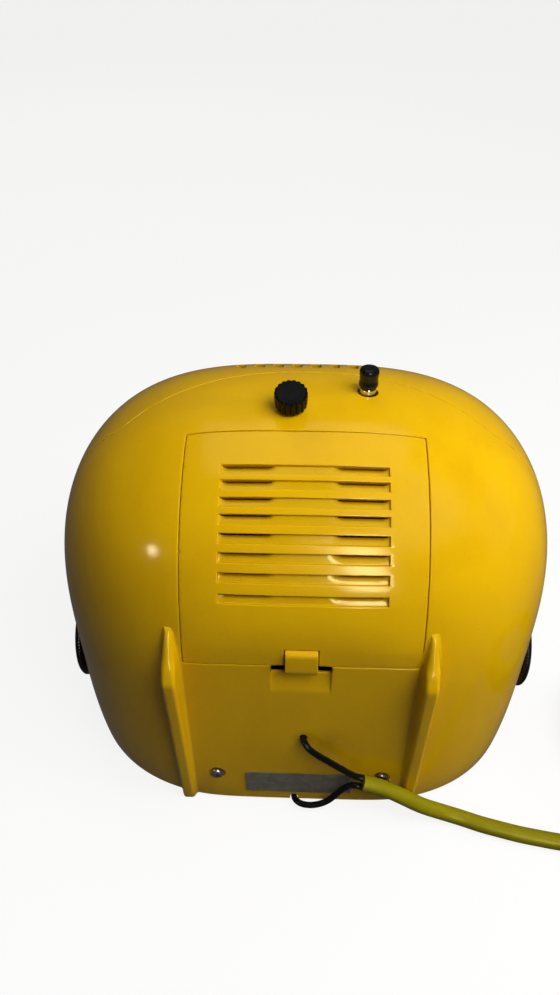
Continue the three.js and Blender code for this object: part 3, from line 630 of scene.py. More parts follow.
# ------------------------------------------------------------------ cords
def catmull(points, per):
    """Centripetal Catmull-Rom line through points."""
    p = [np.array(q, float) for q in points]
    p = [2 * p[0] - p[1]] + p + [2 * p[-1] - p[-2]]
    out = []
    for i in range(1, len(p) - 2):
        p0, p1, p2, p3 = p[i - 1:i + 3]
        t0 = 0.0
        t1 = t0 + np.linalg.norm(p1 - p0) ** 0.5
        t2 = t1 + np.linalg.norm(p2 - p1) ** 0.5
        t3 = t2 + np.linalg.norm(p3 - p2) ** 0.5
        for k in range(per):
            t = t1 + (t2 - t1) * k / per
            a1 = (t1 - t) / (t1 - t0) * p0 + (t - t0) / (t1 - t0) * p1
            a2 = (t2 - t) / (t2 - t1) * p1 + (t - t1) / (t2 - t1) * p2
            a3 = (t3 - t) / (t3 - t2) * p2 + (t - t2) / (t3 - t2) * p3
            b1 = (t2 - t) / (t2 - t0) * a1 + (t - t0) / (t2 - t0) * a2
            b2 = (t3 - t) / (t3 - t1) * a2 + (t - t1) / (t3 - t1) * a3
            out.append((t2 - t) / (t2 - t1) * b1 + (t - t1) / (t2 - t1) * b2)
    out.append(p[-2])
    return np.array(out)


def cord_curve(name, line, diameter, material, replaces):
    data = bpy.data.curves.new(name, "CURVE")
    data.dimensions = "3D"
    data.bevel_depth = diameter / 2000
    data.bevel_resolution = 6
    data.use_fill_caps = True
    s = data.splines.new("POLY")
    s.points.add(len(line) - 1)
    for q, p in zip(s.points, line):
        q.co = (*metres(p), 1)
    s.use_smooth = True
    data.materials.append(material)
    ob = bpy.data.objects.new(name, data)
    SCENE.collection.objects.link(ob)
    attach(ob, "set")
    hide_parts(*replaces)
    return ob, float(np.sum(np.linalg.norm(np.diff(line, axis=0), axis=1))) / 1000


SHEATH = [-27.8, 61.9, 24.4]
CABLE_LINE = [
    SHEATH, [-35.7, 62.3, 22.0], [-44.8, 63.4, 17.4], [-54.2, 63.8, 10.9], [-63.8, 63.6, 5.6], [-72.7, 65.1, 3.7], [-81.1, 67.8, 3.6],
    [-89.5, 70.0, 3.6], [-97.8, 72.0, 3.6], [-106.2, 73.5, 3.6], [-112.8, 74.6, 3.6], [-125, 76.0, 3.6], [-140, 76.8, 3.6], [-156, 76.9, 3.6], [-170, 76.7, 3.6],
]
TAIL = [[-149.5, 59.8, 18.3], [-155.5, 63.8, 18.9], [-162.5, 67.2, 20.6], [-168.5, 68.6, 21.7], [-174.5, 68.8, 21.9]]
COIL_X, COIL_Y = -183.5, 27.6


def eased(angle, stops):
    """Value at angle: stops are (angle, value), held between and eased over each change."""
    v = stops[0][1]
    for (a0, v0), (a1, v1) in zip(stops, stops[1:]):
        if angle >= a1:
            v = v1
        elif angle > a0:
            u = (angle - a0) / (a1 - a0)
            u = u * u * (3 - 2 * u)
            return v0 + (v1 - v0) * u
        else:
            return v0
    return v


def coil_points():
    radius = [(390, 48.4), (440, 41.2), (750, 41.2), (800, 34.0), (1350, 34.0), (1404, 41.2), (1650, 41.2), (1704, 48.4), (1775, 48.4), (1843, 46.8)]
    height = [(1045, 3.6), (1112, 10.7), (1726, 10.7), (1843, 18.3)]
    out = []
    for a in range(96, 1838, 6):
        r, z = eased(a, radius), eased(a, height)
        out.append([COIL_X + r * cos(radians(a)), COIL_Y + r * sin(radians(a)), z])
    return out


def build_cords():
    d = np.array(CABLE_LINE[1]) - np.array(SHEATH)
    d /= np.linalg.norm(d)
    up = np.array([0.02, -0.61, 0.79])
    up -= d * np.dot(up, d)
    up /= np.linalg.norm(up)

    def end(k, back):
        return list(np.array(SHEATH) + up * k - d * back)

    made = []
    line = catmull([[-1.4, 48, 49.4], [-1.4, 55, 49.4], [-1.7, 58.6, 49.2], [-3.6, 60.7, 47.4], [-7.2, 60.9, 43.0], [-13.2, 60.9, 37.4],
                    [-19.8, 61.0, 31.5], end(1.9, 4), end(1.9, 0.3)], 4)
    ob, length = cord_curve("upper_lead", line, 2.8, LEAD, ["lead_upper"])
    made.append((ob, line, length, 0.0028, "object", "limp"))
    line = catmull([[2.1, 46, 3.3], [2.1, 54, 3.3], [1.8, 58.0, 3.3], [-0.7, 60.6, 3.6], [-5.3, 61.6, 3.9], [-10.0, 61.3, 4.9], [-13.4, 60.9, 7.2],
                    [-16.4, 60.5, 11.0], [-19.4, 60.4, 15.8], [-22.6, 60.8, 19.7], end(-1.9, 2.6), end(-1.9, 0.3)], 3)
    ob, length = cord_curve("lower_lead", line, 2.8, LEAD, ["lead_lower"])
    made.append((ob, line, length, 0.0028, "object", "limp"))
    first = catmull(CABLE_LINE + coil_points()[:2], 3)[:-3]
    last = catmull([coil_points()[-1]] + TAIL, 3)
    line = np.concatenate([first, np.array(coil_points())[1:-1], last])
    ob, length = cord_curve("mains_cable", line, 7.0, GREEN, ["cable", "cable_coil", "cable_tail"])
    made.append((ob, line, length, 0.007, "plug", "medium"))
    return made


CORDS = build_cords()


def build_plug():
    x0, y0, z0 = COIL_X + 8.7, COIL_Y + 41.2, 21.9
    half = fillet([(0, 4.2), (2.5, 4.6), (8, 8.6), (12, 12.0), (32.5, 12.2), (35, 11.2)], 2.0, 4)
    outline = half + [(a, -b) for a, b in half[::-1]]

    def shell_at(level):
        # the outline drawn in near the flat faces, so that the long edges are round
        h, inset = level
        out = []
        n = len(outline)
        for i in range(n):
            p, q = np.array(outline[i - 1]), np.array(outline[(i + 1) % n])
            t = (q - p) / max(np.linalg.norm(q - p), 1e-9)
            nrm = np.array([t[1], -t[0]])
            c = np.array(outline[i]) + nrm * inset
            out.append((x0 - c[0], y0 + c[1], z0 + h))
        return out

    sign = 1.0
    probe = np.array(outline)
    area = 0.5 * np.sum(probe[:, 0] * np.roll(probe[:, 1], -1) - np.roll(probe[:, 0], -1) * probe[:, 1])
    if area > 0:
        sign = -1.0
    levels = [(-6.9, sign * 2.2), (-6.7, sign * 1.2), (-6.1, sign * 0.5), (-5.2, sign * 0.15), (-4.0, 0), (-0.35, 0), (-0.2, sign * 0.3), (0.2, sign * 0.3),
              (0.35, 0), (4.0, 0), (5.2, sign * 0.15), (6.1, sign * 0.5), (6.7, sign * 1.2), (6.9, sign * 2.2)]
    v, f = [], []
    n = len(outline)
    for lv in levels:
        v += shell_at(lv)
    for k in range(len(levels) - 1):
        for i in range(n):
            j = (i + 1) % n
            f.append((k * n + i, k * n + j, (k + 1) * n + j, (k + 1) * n + i))
    f.append(tuple(range(n)))
    f.append(tuple(range((len(levels) - 1) * n, len(levels) * n)))
    grips = []
    for s in (-1, 1):
        for k in range(5):
            prof = fillet([(0, 0), (1.1, 0), (1.1, 9), (0, 9)], 0.45, 4)
            g = placed(lathe(prof, 16), (x0 - 16 - 3.0 * k, y0 + s * 11.9, z0 - 4.5))
            grips.append(g)
    collar = placed(lathe(fillet([(0, -1.2), (5.0, -1.2), (5.4, 0.4), (4.9, 1.4), (5.4, 2.4), (5.6, 5), (0, 5)], 0.4, 3), 40), (x0 - 1.0, y0, z0), "-x")
    body = add_mesh("mains_plug", *joined((np.array(v), f), *grips, collar), GREEN, slot="green_cable", replaces=["plug_body"], sharp=60)
    pins = []
    for k, s in ((1, -1), (2, 1)):
        prof = fillet([(0, 0), (2, 0), (2, 15.6), (1.5, 18.3), (0, 19)], 0.5, 3)
        parts = [placed(lathe(prof, 32), (x0 - 35.3, y0 + s * 9.3, z0), "-x")]
        parts.append(placed(lathe(fillet([(0, 0), (2.06, 0), (2.06, 6.5), (0, 6.5)], 0.3, 2), 32), (x0 - 35.2, y0 + s * 9.3, z0), "-x"))
        pins.append(add_mesh(f"mains_pin_{k}", *parts[0], PIN, slot="bright_tube", replaces=[f"plug_pin_{k}"]))
    # tie round the bundle
    r0, r1 = COIL_X - 52.1, COIL_X - 30.3
    w, h = r1 - r0 + 1.2, 15.2
    out = rounded_rect(w, h, 3.4, 8)
    inn = rounded_rect(w - 1.8, h - 1.6, 2.6, 8)
    n = len(out)
    cx, cz = (r0 + r1) / 2, 7.7
    v, f = [], []
    for y, rim in ((-3.0, 0.25), (-2.7, 0.0), (2.7, 0.0), (3.0, 0.25)):
        for (a, b) in out:
            k = 1 - rim / 10
            v.append((cx + a * k, COIL_Y + y, cz + b * k))
        for (a, b) in inn:
            v.append((cx + a, COIL_Y + y, cz + b))
    m = 2 * n
    for i in range(n):
        j = (i + 1) % n
        for L in range(3):
            f.append((L * m + i, L * m + j, (L + 1) * m + j, (L + 1) * m + i))
            f.append((L * m + n + j, L * m + n + i, (L + 1) * m + n + i, (L + 1) * m + n + j))
        f.append((i, n + i, n + j, j))
        f.append((3 * m + j, 3 * m + n + j, 3 * m + n + i, 3 * m + i))
    tie = add_mesh("cable_tie", v, f, MATT, slot="black_matt", replaces=["coil_tie"], sharp=50)
    return body, pins, tie


PIN = metal("pin_brass", (0.66, 0.52, 0.26), 0.25, (14, 1, 1), 1.0, 0.3)
PLUG, PINS, TIE = build_plug()
for ob, line, length, d, far, stiff in CORDS:
    if far == "plug":
        metres(line[0])
    else:
        metres(line[0])


# ------------------------------------------------------------------ rear shell
def step(v, a, b):
    """0 at a, 1 at b, eased."""
    u = np.clip((v - a) / (b - a), 0, 1)
    return u * u * (3 - 2 * u)


KNOB_AT, AERIAL_AT, SCREW_AT = (5.9, -8.9, 172.4), (-24.9, -22.0), (36.6, 20.7)
KNOB_TILT = radians(20)  # the control leans back
SLOT_W = 11.8


def lean(vf):
    """From the knob's own upright place at the origin onto the housing."""
    v = np.array(vf[0], float)
    c, s = cos(KNOB_TILT), sin(KNOB_TILT)
    y, z = v[:, 1] * c + v[:, 2] * s, v[:, 2] * c - v[:, 1] * s
    return np.stack([v[:, 0] + KNOB_AT[0], y + KNOB_AT[1], z + KNOB_AT[2]], -1), vf[1]


def mouth(radius, deep, f=0.45, seg=48, tall=3.0):
    """Cutter for a round hole with a rounded mouth; its mouth is at height 0 and it goes down."""
    prof = [(0, tall), (radius + f + 0.03, tall), (radius + f + 0.03, 0.03)]
    for k in range(7):
        a = pi / 2 * k / 6
        prof.append((radius + f - f * sin(a), -f + f * cos(a)))
    prof += [(radius, -deep), (0, -deep)]
    return lathe(prof, seg)


def build_rear_shell():
    half = list(np.linspace(0, 11.3, 8)) + [11.42, 11.54, 11.67, SLOT_W, 11.93, 12.06] + list(np.linspace(12.06, 45.95, 22)) \
        + list(np.linspace(45.95, 52.6, 5)) + list(arc_lines(52.6, 107.45, 46)) + list(arc_lines(107.45, 109.46, 9))
    xs = mirrored(half)
    parts = [22, 58, 3, 8, 42]  # rows between the keys
    rows = sum(parts) + 1
    out = np.zeros((len(xs), rows, 3))
    raw = np.zeros((len(xs), rows))
    fractions = None

    def keys_of(x):
        y, z, l = section(x, float(seam(x)) + 0.15)
        top = int(np.argmax(z))
        door = np.interp(3.05, y[:int(len(y) * 0.75)], l[:int(len(y) * 0.75)])
        at = [np.interp(-q, -z[top:], l[top:]) for q in (95.55, 90.4, 80.2)]
        return y, z, l, [0, door, *at, l[-1]]

    _, _, l, k = keys_of(52.6)
    fractions = [v / l[-1] for v in k]
    for i, x in enumerate(xs):
        if abs(x) <= 52.6:
            y, z, l, k = keys_of(abs(x))
        else:
            y, z, l = section(abs(x), float(seam(x)) + 0.15)
            k = [f * l[-1] for f in fractions]
        s = np.concatenate([np.linspace(k[a], k[a + 1], n, endpoint=False) for a, n in enumerate(parts)] + [[k[-1]]])
        ry, rz = np.interp(s, l, y), np.interp(s, l, z)
        raw[i] = ry
        out[i, :, 0], out[i, :, 1], out[i, :, 2] = x, flatten(ry)[0], rz
    inner = offset(out, raw, WALL)
    # finger recess under the latch
    ax, z = np.abs(out[..., 0]), out[..., 2]
    deep = 1.6 * np.clip((z - 80.2) / 10.2, 0, 1) ** 0.8 * (1 - step(ax, 11.35, 12.06)) * (z < 90.5) * (out[..., 1] > 40)
    outer = out.copy()
    outer[..., 1] -= deep
    mask = np.ones((len(xs) - 1, rows - 1), bool)
    cx = np.abs((xs[:-1] + xs[1:]) / 2)
    r1, r2, r3 = parts[0], parts[0] + parts[1], parts[0] + parts[1] + parts[2]
    mask[np.ix_(cx < 45.95, np.arange(r1, r2))] = False
    mask[np.ix_(cx < SLOT_W, np.arange(r2, r3))] = False
    v, f, free = thick_grid(outer, inner, mask)

    pieces = [(v, f)]
    # ledge behind the door's edge
    for x0, x1, n, ys, zs in ((42.4, 46.4, 4, 0.5, 92.6), (-46.4, -42.4, 4, 0.5, 92.6)):
        pieces.append(ledge(np.linspace(x0, x1, n), ys, zs, 3.2))
    for x0, x1 in ((46.3, 49.0), (-49.0, -46.3)):
        pieces.append(ledge(np.linspace(x0, x1, 3), 0.5, 92.6, 2.3))
    pieces.append(ledge(np.linspace(-46.0, 46.0, 40), 2.4, 99.5, 3.2, y_to=7.5))
    pieces.append(ledge(np.linspace(-46.0, 46.0, 40), 0.3, 99.5, 2.3, y_to=2.6))
    for x0, x1, zt, zb in ((-45.9, -SLOT_W - 0.1, 99.5, 94.6), (SLOT_W + 0.1, 45.9, 99.5, 94.6), (-SLOT_W - 0.2, SLOT_W + 0.2, 99.5, 96.0)):
        pieces.append(ledge(np.linspace(x0, x1, 12), None, zb, 3.2, z_from=zt))
    for x0, x1 in ((-45.9, -SLOT_W - 0.1), (SLOT_W + 0.1, 45.9)):
        pieces.append(ledge(np.linspace(x0, x1, 12), None, 92.6, 2.3, z_from=95.0))
    for s in (-1, 1):
        pieces.append(rib(s))
    all_v, all_f = joined(*pieces)

    cutters = []
    for s in (-1, 1):
        cutters.append(placed(mouth(3.75, 0.9, 0.35), (s * SCREW_AT[0], PANEL, SCREW_AT[1]), "y"))
        cutters.append(placed(mouth(1.8, 6, 0.05, 24, 0.5), (s * SCREW_AT[0], PANEL - 0.9, SCREW_AT[1]), "y"))
    cutters.append(placed(mouth(1.7, 6, 0.4), (-1.4, PANEL, 49.4), "y"))
    slot = [(0.35, -2), (3.85, -2)] + [(2.1 + 1.75 * cos(a), 3.4 + 1.75 * sin(a)) for a in np.linspace(0, pi, 17)]
    cutters.append(prism(slot, 50, 62, lambda a, b, h: (a, h, b)))
    cutters.append(lean(lathe([(0, -14), (2.0, -14), (2.0, 8), (0, 8)], 40)))
    cutters.append(placed(lathe([(0, 140), (4.3, 140), (4.3, 171.6), (4.7, 172.2), (4.9, 180), (0, 180)], 56), (*AERIAL_AT, 0)))
    return add_mesh("rear_housing", all_v, all_f, YELLOW, bevel=(free, 0.32), sharp=50, slot="yellow_plastic", replaces=["rear_shell"],
                    cut=cutters, keep_edge=lambda e: abs((e.verts[0].co.x + e.verts[1].co.x) / 2) < 0.104)


def ledge(xs, y_from, z_to, deep, y_to=None, z_from=None, thick=2.0):
    """A strip behind the housing's wall, following its form at a depth."""
    n = 50 if (y_to is None and z_from is None) else 6
    a = np.zeros((len(xs), n, 3))
    raw = np.zeros((len(xs), n))
    for i, x in enumerate(xs):
        y, z, l = section(abs(float(x)), float(seam(x)) + 0.15)
        top = int(np.argmax(z))
        stop = int(len(y) * 0.75)
        if z_from is not None:
            s0 = np.interp(-z_from, -z[top:], l[top:])
        else:
            s0 = np.interp(y_from, y[:stop], l[:stop])
        s1 = np.interp(y_to, y[:stop], l[:stop]) if y_to is not None else np.interp(-z_to, -z[top:], l[top:])
        s = np.linspace(s0, s1, n)
        raw[i] = np.interp(s, l, y)
        a[i, :, 0], a[i, :, 1], a[i, :, 2] = x, flatten(raw[i])[0], np.interp(s, l, z)
    v, f, _ = thick_grid(offset(a, raw, deep), offset(a, raw, 5.2), np.ones((len(xs) - 1, n - 1), bool))
    return v, f


def rib(side):
    line = [(1.2, 57.6), (1.25, 58.0), (3.0, 58.6), (32.0, 60.9), (62.0, 63.2), (84.5, 64.9), (90.8, 65.4), (93.0, 65.0), (97.6, 63.1), (108.8, 56.6), (111.2, 54.6), (112.2, 52.6)]
    fine = fillet(line, [0, 0, 2, 6, 6, 5, 1.8, 1.8, 3, 3, 1.0, 0], 6)
    zs = [p[0] for p in fine]
    ys = [p[1] for p in fine]
    levels = sorted(set([1.2, 1.3, 1.5, 2.0, 3.0] + list(np.arange(4.0, 84, 2.2)) + list(np.arange(84, 111.6, 0.7)) + [111.8]))
    mid = side * (RIB_X0 + RIB_X1) / 2 + (1.2 if side > 0 else 0)
    rings = []
    for z in levels:
        crest = float(np.interp(z, zs, ys))
        base_mid = float(surface_y(mid, z))
        high = max(crest - base_mid, 0.02)
        tip = 1 - 0.5 * float(step(z, 97, 112))
        w0, w1 = 3.2 * tip, 2.75 * tip
        r = min(1.5 + 1.2 * float(step(z, 92, 104)), high * 0.8, w1 * 0.97)
        prof = []
        for d, extra in ((-0.35, 1.3), (0.0, 1.05), (0.12, 0.62), (0.35, 0.3), (0.75, 0.08), (1.2, 0.0)):
            if d < high - r:
                prof.append((w0 + extra * min(1, high / 3), d))
        for k in range(8):
            t = pi / 2 * k / 7
            prof.append((w1 - r + r * cos(t), high - r + r * sin(t)))
        while len(prof) < 14:
            prof.insert(0, (prof[0][0] + 0.02, prof[0][1] - 0.05))
        ring = []
        for sgn in (1, -1):
            seq = prof if sgn > 0 else prof[::-1]
            for dx, d in seq:
                x = mid + sgn * dx
                g = d / high
                foot = float(surface_y(x, z))
                ring.append((x, (1 - g) * foot + g * crest if g > 0 else foot + d, z))
        rings.append(ring)
    n = len(rings[0])
    v = [p for ring in rings for p in ring]
    f = []
    for a in range(len(rings) - 1):
        for i in range(n):
            j = (i + 1) % n
            f.append((a * n + i, a * n + j, (a + 1) * n + j, (a + 1) * n + i))
    f.append(tuple(range(n)))
    f.append(tuple(range((len(rings) - 1) * n, len(rings) * n)))
    return np.array(v, float), f


RIB_X0, RIB_X1 = 46.2, 52.6
REAR = build_rear_shell()


# ------------------------------------------------------------------ rear door
def build_door():
    fx = [0, 2, 4, 5.6, 6.7, 8.5, 10.5, 12.2] + list(np.linspace(12.2, 30.6, 12)) + [30.9, 31.05, 31.12, 31.2, 31.32, 31.5] + list(np.linspace(31.5, 45.6, 10))
    xs = mirrored(fx)
    yy = np.arange(8, 56.0001, 0.05)
    k = 1 - ((yy - Y0) / DB) ** 2 - (31.1 / AX) ** NP
    zz = Z0 + CT * k ** (1 / PT)
    ll = np.concatenate([[0], np.cumsum(np.hypot(np.diff(yy), np.diff(zz)))])
    start, end = np.interp(17.8, yy, ll), np.interp(52.4, yy, ll)
    groove = 3.6
    pitch = (end - start - groove) / 7
    cuts = []
    early = [0.38, 1.23, 1.56, 2.2, 2.2, 2.2, 1.84, 0.74]
    for g in range(8):
        s = start + g * pitch - early[g] + groove / 2
        y, z = np.interp(s, ll, yy), np.interp(s, ll, zz)
        y2, z2 = np.interp(s + 0.2, ll, yy), np.interp(s + 0.2, ll, zz)
        q = math.hypot(y2 - y, z2 - z)
        cuts.append((y, z, (y2 - y) / q, (z2 - z) / q))
    # rows across one groove: distance from its middle line and depth share
    across = [(-2.25, 0.0), (-2.0, 0.03), (-1.86, 0.14), (-1.8, 0.32), (-1.77, 1.0), (-1.32, 1.0), (-0.7, 1.0), (-0.1, 1.0), (0.6, 1.0), (1.3, 1.0), (1.62, 0.96), (1.77, 0.62), (1.84, 0.2), (1.98, 0.05), (2.25, 0.0)]
    lists, rawl = [], []
    depth_v = None
    for x in xs:
        y, z, l = section(abs(float(x)), 3.4, z_end=95.9)
        s_list, d_list = [], []
        marks = []
        for (gy, gz, ty, tz) in cuts:
            pos = (y - gy) * ty + (z - gz) * tz
            near = np.hypot(y - gy, z - gz) < 14
            for dist, share in across:
                marks.append((float(np.interp(dist, pos[near], l[near])), share))
        z_notch = float(np.interp(-104.9, -z[len(z) // 4:], l[len(z) // 4:]))
        s_list += [(v, 0.0) for v in np.linspace(0, marks[0][0], 10, endpoint=False)]
        for i, m in enumerate(marks):
            s_list.append(m)
            if i % len(across) == len(across) - 1 and i + 1 < len(marks):
                s_list.append(((m[0] + marks[i + 1][0]) / 2, 0.0))
        s_list += [(v, 0.0) for v in np.linspace(marks[-1][0], z_notch, 4)[1:]]
        s_list += [(v, 0.0) for v in np.linspace(z_notch, l[-1], 6)[1:]]
        s = np.array([q[0] for q in s_list])
        depth_v = np.array([q[1] for q in s_list])
        ry = np.interp(s, l, y)
        lists.append(np.stack([np.full(len(s), x), flatten(ry)[0], np.interp(s, l, z)], -1))
        rawl.append(ry)
    out, raw = np.array(lists), np.array(rawl)
    ax = np.abs(xs)
    share_x = np.interp(ax, [30.9, 31.05, 31.12, 31.2, 31.32, 31.5], [1, 0.95, 0.6, 0.2, 0.05, 0])
    deep = 1.2 * np.minimum(depth_v[None, :], share_x[:, None])
    # inside the slits' length the floor falls towards the upper side
    fall = {-1.77: 1.1, -1.32: 1.0, -0.7: 0.7, -0.1: 0.35, 0.6: 0.1}
    along = step(ax, 11.4, 12.9) * (1 - step(ax, 29.6, 30.9))
    for g in range(8):
        for q, (dist, _) in enumerate(across):
            if dist in fall:
                deep[:, 10 + g * (len(across) + 1) + q] += fall[dist] * along
    outer = out - deep[..., None] * normal_at(out[..., 0], raw, out[..., 2])
    inner = offset(out, raw, 2.8)
    rows = outer.shape[1]
    mask = np.ones((len(xs) - 1, rows - 1), bool)
    cx = np.abs((xs[:-1] + xs[1:]) / 2)
    slit_x = (cx > 12.2) & (cx < 30.6)
    step_rows = len(across) + 1
    for g in range(8):
        r = 10 + g * step_rows + 4
        mask[slit_x, r] = False
    mask[np.ix_(cx < 6.7, np.arange(rows - 6, rows - 1))] = False
    v, f, free = thick_grid(outer, inner, mask)
    nj = rows
    n_outer = outer.shape[0] * nj
    slit_rows = set()
    for g in range(8):
        slit_rows |= {10 + g * step_rows + 4, 10 + g * step_rows + 5}
    edge = [(a, b) for a, b in free if not ((a % nj) in slit_rows and (b % nj) in slit_rows)]
    return add_mesh("back_door", v, f, YELLOW, body="door", bevel=(edge, 0.3), sharp=50, slot="yellow_plastic", replaces=["rear_door"])


DOOR = build_door()


def groove_depth(ob):
    """How far each point of the louvres lies under the form, 1 for 2.6 mm, kept for the painted shade and painted
    reflection in the plastic's colour.
    """
    n = len(ob.data.vertices)
    co = np.zeros(n * 3)
    ob.data.vertices.foreach_get("co", co)
    p = co.reshape(-1, 3) * 1000
    x, y, z = p[:, 0], p[:, 1] - MY, p[:, 2]
    f = np.abs(x / AX) ** NP + ((y - Y0) / DB) ** 2 + np.abs((z - Z0) / CT) ** PT
    g = np.sqrt((NP / AX * np.abs(x / AX) ** (NP - 1)) ** 2 + (2 * (y - Y0) / DB**2) ** 2 + (PT / CT * np.abs((z - Z0) / CT) ** (PT - 1)) ** 2)
    d = np.minimum((1 - f) / g, surface_y(x, z) - y)
    d = np.where((np.abs(x) < 31.6) & (z > 108) & (d < 2.72), np.clip(d / 2.6, 0, 1), 0)
    layer = ob.data.attributes.new("under", "FLOAT", "POINT")
    layer.data.foreach_set("value", d.astype(np.float32))


groove_depth(DOOR)


def build_latch():
    line = fillet([(54.6, 104.4), (57.0, 104.5), (58.4, 103.9), (59.0, 102.6), (59.2, 98.0), (59.2, 94.6), (58.8, 93.0), (57.9, 92.1),
                   (56.8, 92.0), (56.1, 92.6), (56.0, 95.0), (55.6, 98.6), (54.6, 100.2)], 0.9, 3, closed=True)
    v, f = prism(line, -6.3, 6.3, lambda a, b, h: (h, a, b))
    return add_mesh("latch_tab", v, f, YELLOW, body="latch", bevel=0.35, segments=3, sharp=50, slot="yellow_plastic", replaces=["door_latch"])


LATCH = build_latch()


# ------------------------------------------------------------------ front shell
def level_line(zl, n):
    """The form's outline at a height, from the seam round the front to the seam again."""
    k = 1 - abs((zl - Z0) / (CT if zl > Z0 else CL)) ** (PT if zl > Z0 else PL)
    t = np.linspace(-0.45, pi / 2, 6000)
    x = AX * k ** (1 / NP) * np.abs(np.cos(t)) ** (2 / NP)
    v = np.sin(t)
    y = Y0 - np.where(v > 0, DF, DB) * math.sqrt(k) * v
    first = int(np.argmax(y <= seam(x) - 0.15))
    x, y = x[first:], y[first:]
    x, y = np.concatenate([x, -x[::-1][1:]]), np.concatenate([y, y[::-1][1:]])
    d = np.concatenate([[0], np.cumsum(np.hypot(np.diff(x), np.diff(y)))])
    s = np.linspace(0, d[-1], n)
    return np.stack([np.interp(s, d, x), np.interp(s, d, y)], -1)


def form_z(x, y):
    """Height of the form's top over a place in plan."""
    k = 1 - np.abs(x / AX) ** NP - ((y - Y0) / np.where(y > Y0, DB, DF)) ** 2
    return Z0 + CT * np.maximum(k, 1e-9) ** (1 / PT)


def build_front_shell():
    n, z1, patch = 150, 150.0, 44
    edge = level_line(z1, n)
    sx = np.linspace(edge[0, 0], edge[-1, 0], 4001)
    sy = seam(sx) - 0.15
    d = np.concatenate([[0], np.cumsum(np.hypot(np.diff(sx), np.diff(sy)))])
    s = np.linspace(0, d[-1], n)
    start = np.stack([np.interp(s, d, sx), np.interp(s, d, sy)], -1)
    rows = []
    for k in range(patch):
        u = (k / patch) ** 0.9
        p = start * (1 - u) + edge * u
        z = form_z(p[:, 0], p[:, 1])
        z[0] = z[-1] = float(form_z(*edge[0]))
        if k:
            p[0], p[-1] = start[0] * (1 - 1e-6 * k) + edge[n // 2] * 1e-6 * k, start[-1] * (1 - 1e-6 * k) + edge[n // 2] * 1e-6 * k
        rows.append(np.column_stack([p, z]))
    levels = []
    w = np.linspace(0, 1, 3000)
    zz = z1 + (RIM - z1) * w
    yy = Y0 - DF * np.sqrt(np.maximum(1 - np.abs((zz - Z0) / np.where(zz > Z0, CT, CL)) ** np.where(zz > Z0, PT, PL), 0))
    l = np.concatenate([[0], np.cumsum(np.hypot(np.diff(zz), np.diff(yy)))])
    for zl in np.interp(np.linspace(0, l[-1], 74), l, zz):
        p = level_line(float(zl), n)
        rows.append(np.column_stack([p, np.full(n, zl)]))
    a = np.array(rows)
    raw = a[..., 1].copy()
    inner = offset(a, raw, WALL)
    v, f, free = thick_grid(a, inner, np.ones((len(rows) - 1, n - 1), bool))
    cutters = [prism(rounded_rect(OPEN_W, OPEN_H, OPEN_R, 12), -130, -45, lambda p, q, h: (p, h, q + SCREEN_Z))]
    for yv, zv in ((-54, 165), (-66.5, 160)):
        for i in range(8):
            xv = (i - 3.5) * 8.3
            ring = rounded_rect(4.6, 9.2, 0.7, 3)
            cutters.append(prism([(xv + p, yv + q) for p, q in ring], zv - 25, 190, lambda p, q, h: (p, q, h)))
    for s in ("x", "-x"):
        cutters.append(placed(lathe([(0, 90), (3.4, 90), (3.4, 120), (0, 120)], 32), (0, DIAL_Y, DIAL_Z), s))
    return add_mesh("front_housing", v, f, YELLOW, bevel=(free, 0.3), sharp=50, slot="yellow_plastic", replaces=["front_shell"], cut=cutters,
                    keep_edge=lambda e: True)


OPEN_W, OPEN_H, OPEN_R, MASK_W, MASK_H, MASK_R, SCREEN_Z = 128, 98, 20, 106, 80, 14, 86
DIAL_R, DIAL_Y, DIAL_Z, DIAL_X0 = 24, -22, 25.5, 110.4
FRONT = build_front_shell()


